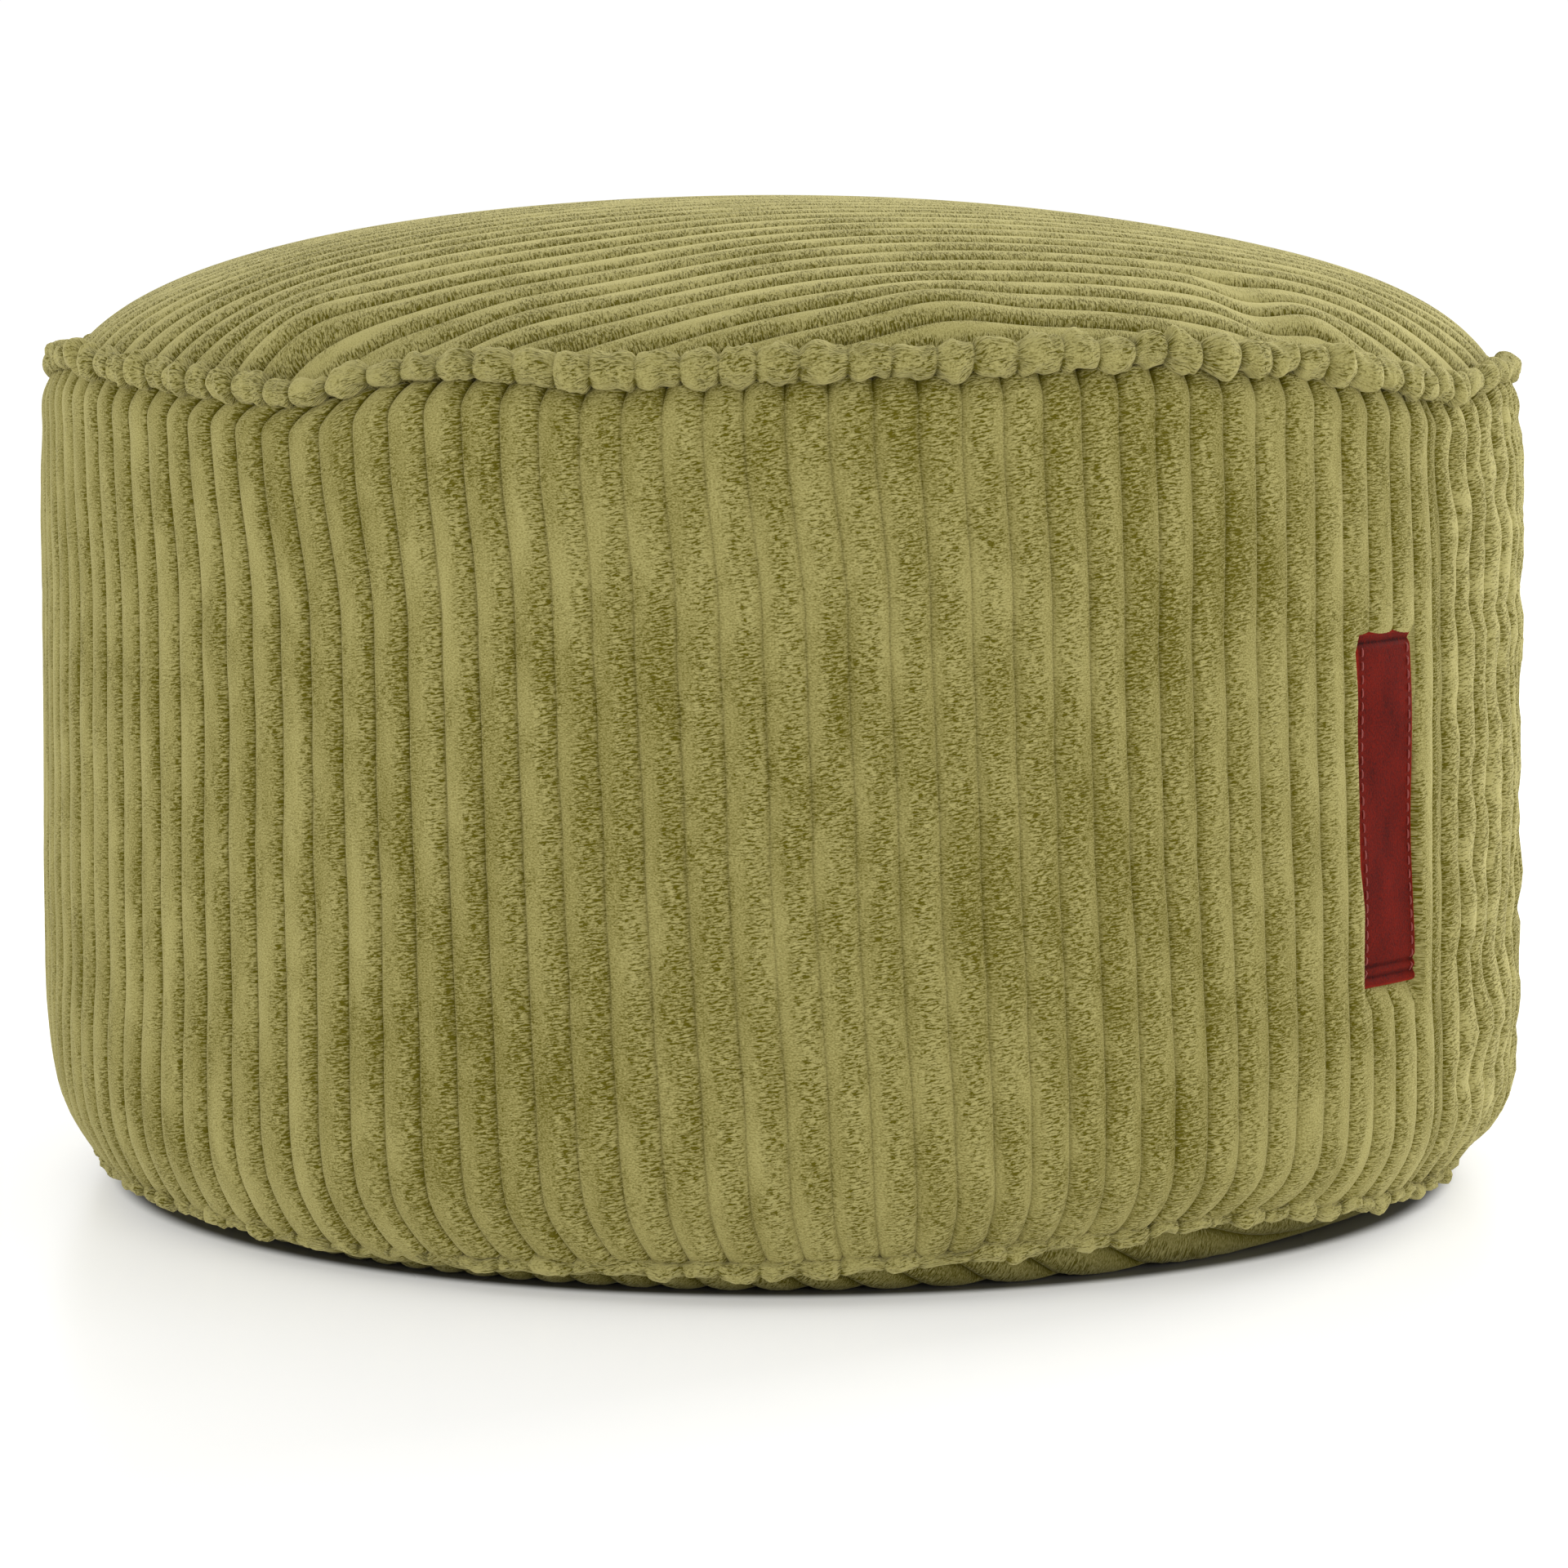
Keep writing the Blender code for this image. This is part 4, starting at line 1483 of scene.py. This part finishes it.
@dataclass
class Studio:
    """White sweep, soft light and the camera."""

    eye: Triple = (0.0006, -1.7, 0.3344)
    pitch_deg: float = 6.867
    lens: float = 114.71
    floor_grey: float = 0.72
    floor_glow: float = 0.38  # a light table's glow, which keeps the floor white
    dark_grey: float = 0.20  # glow that keeps the floor white; it fades out right under the footstool, where it leaves a painted contact shadow
    dark_edge: tuple[float, float] = (0.2150, 0.2235)  # radii at which that begins to fade and ends
    softboxes: tuple[Softbox, ...] = (
        Softbox("left", (-2.2, -0.9, 1.3), 1.3, 3.0),
        Softbox("right", (2.3, -0.4, 1.1), 1.1, 4.0),
        Softbox("rim", (1.7, 1.5, 1.2), 1.0, 34.0),
        Softbox("back", (-0.6, 2.2, 1.6), 1.4, 10.0),
    )

    def add_camera(self) -> None:
        """Camera at the photograph's place, without shift or depth of field."""
        data = bpy.data.cameras.new("camera")
        data.sensor_width, data.lens = 36.0, self.lens
        data.clip_start, data.clip_end = 0.01, 100.0
        camera = add_object("camera", data)
        camera.location = self.eye
        camera.rotation_euler = (math.radians(90.0 - self.pitch_deg), 0.0, 0.0)
        bpy.context.scene.camera = camera

    def add_floor(self) -> None:
        """White, slightly glossy floor: glowing a little, but with a painted contact shadow right
        under the footstool, where it is dark and does not glow.
        """
        mesh = bpy.data.meshes.new("floor")
        far = 12.0
        corners = [(-far, -far, 0), (far, -far, 0), (far, far, 0), (-far, far, 0)]
        mesh.from_pydata(corners, [], [(0, 1, 2, 3)])
        material, sheet, shader = new_material("white_floor")
        smear = sheet.noise(sheet.place(), (6.0, 6.0, 6.0))
        oval = {0: sheet.times(sheet.place(), (0.965, 1.0, 1.0))}
        away = sheet.node("ShaderNodeVectorMath", oval, operation="LENGTH").outputs["Value"]
        sheet.fill(
            shader,
            {
                "Base Color": sheet.band(away, *self.dark_edge, self.dark_grey, self.floor_grey),
                "Roughness": sheet.band(smear, 0.3, 0.7, 0.24, 0.30),
                "Specular IOR Level": 0.06,
                "Emission Color": sheet.band(away, *self.dark_edge),
                "Emission Strength": self.floor_glow,
            },
        )
        mesh.materials.append(material)
        floor = add_object("floor", mesh)

    def add_world(self) -> None:
        """White room: full white to the camera and to gloss, softer as a source of light."""
        world = bpy.data.worlds.new("white_room")
        world.use_nodes = True
        sheet = NodeSheet(world.node_tree)
        lit = sheet.node("ShaderNodeLightPath").outputs["Is Diffuse Ray"]
        strength = sheet.weighted(1.02, (lit, -0.07))
        white = (1.0, 1.0, 1.0, 1.0)
        sheet.fill(world.node_tree.nodes["Background"], {"Color": white, "Strength": strength})
        bpy.context.scene.world = world

    def add(self) -> None:
        """Adds the camera, the floor, the lights and the world."""
        self.add_camera()
        self.add_floor()
        self.add_world()
        for softbox in self.softboxes:
            softbox.add()
        bpy.context.scene.view_settings.view_transform = "Standard"
        bpy.context.scene.view_settings.look = "None"


@dataclass
class Footstool:
    """All pieces of the footstool and their finishes."""

    label: LeatherLabel = field(default_factory=LeatherLabel)

    def build(self) -> list[Object]:
        """Returns:
            The pieces.
        """
        group = pile_group()
        wall = CorduroyFinish("corduroy_band", patches=1.2).material(group)
        # The crown and the beads are paler copies of the corduroy with more painted sheen: painted
        # light from above.
        crown = CorduroyFinish(
            "corduroy_top", patches=1.6, ruffle=1.2, paler=0.09, painted_sheen=0.50, pile_depth=0.0012
        ).material(group)
        edge = CorduroyFinish(
            "corduroy_beads", patches=0.9, ruffle=1.15, paler=0.30, painted_sheen=0.34, pile_depth=0.0014
        ).material(group)
        foot = CorduroyFinish("corduroy_bottom", patches=0.5, paler=0.10).material(group)

        band = SideBand(self.label).build(wall)
        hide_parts("side_band")
        beads = SeamBeads(
            "top_seam_beads", 0.2455, 0.2796, 0.0050, 0.0057, Line.STITCH_LIFT
        ).build(edge)
        hem = SeamBeads(
            "bottom_seam_edge", 0.2358, 0.0124, 0.0032, 0.0030, Line.SEAM_LIFT, Line.FOOT_OUT,
            waist=0.70, uneven=1.5, knobs=0.24, steps=12, loops=14, seed=9,
        ).build(edge)
        top = RoundPanel(
            "top_panel_cloth", 17.0, crown_knots(), RibShape(0.0026), 180, (0.995, 0.262), True
        ).build(crown)
        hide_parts("top_panel")
        base = RoundPanel(
            "bottom_panel_cloth", 50.0, foot_knots(), RibShape(0.0034), 130, (0.97, 0.0145), False
        ).build(foot)
        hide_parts("bottom_panel")

        patch = self.label.build_patch(LeatherFinish().material())
        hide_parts("label")
        stitches = self.label.build_stitches(ThreadFinish().material())
        return [band, beads, hem, top, base, patch, stitches]


def main() -> None:
    """Builds the footstool and its studio."""
    logging.basicConfig(level=logging.INFO, format="%(name)s: %(message)s")
    Studio().add()
    for piece in Footstool().build():
        triangles = sum(len(p.vertices) - 2 for p in piece.data.polygons)
        LOG.info("%s: %d triangles", piece.name, triangles)


if __name__ == "__main__":
    main()
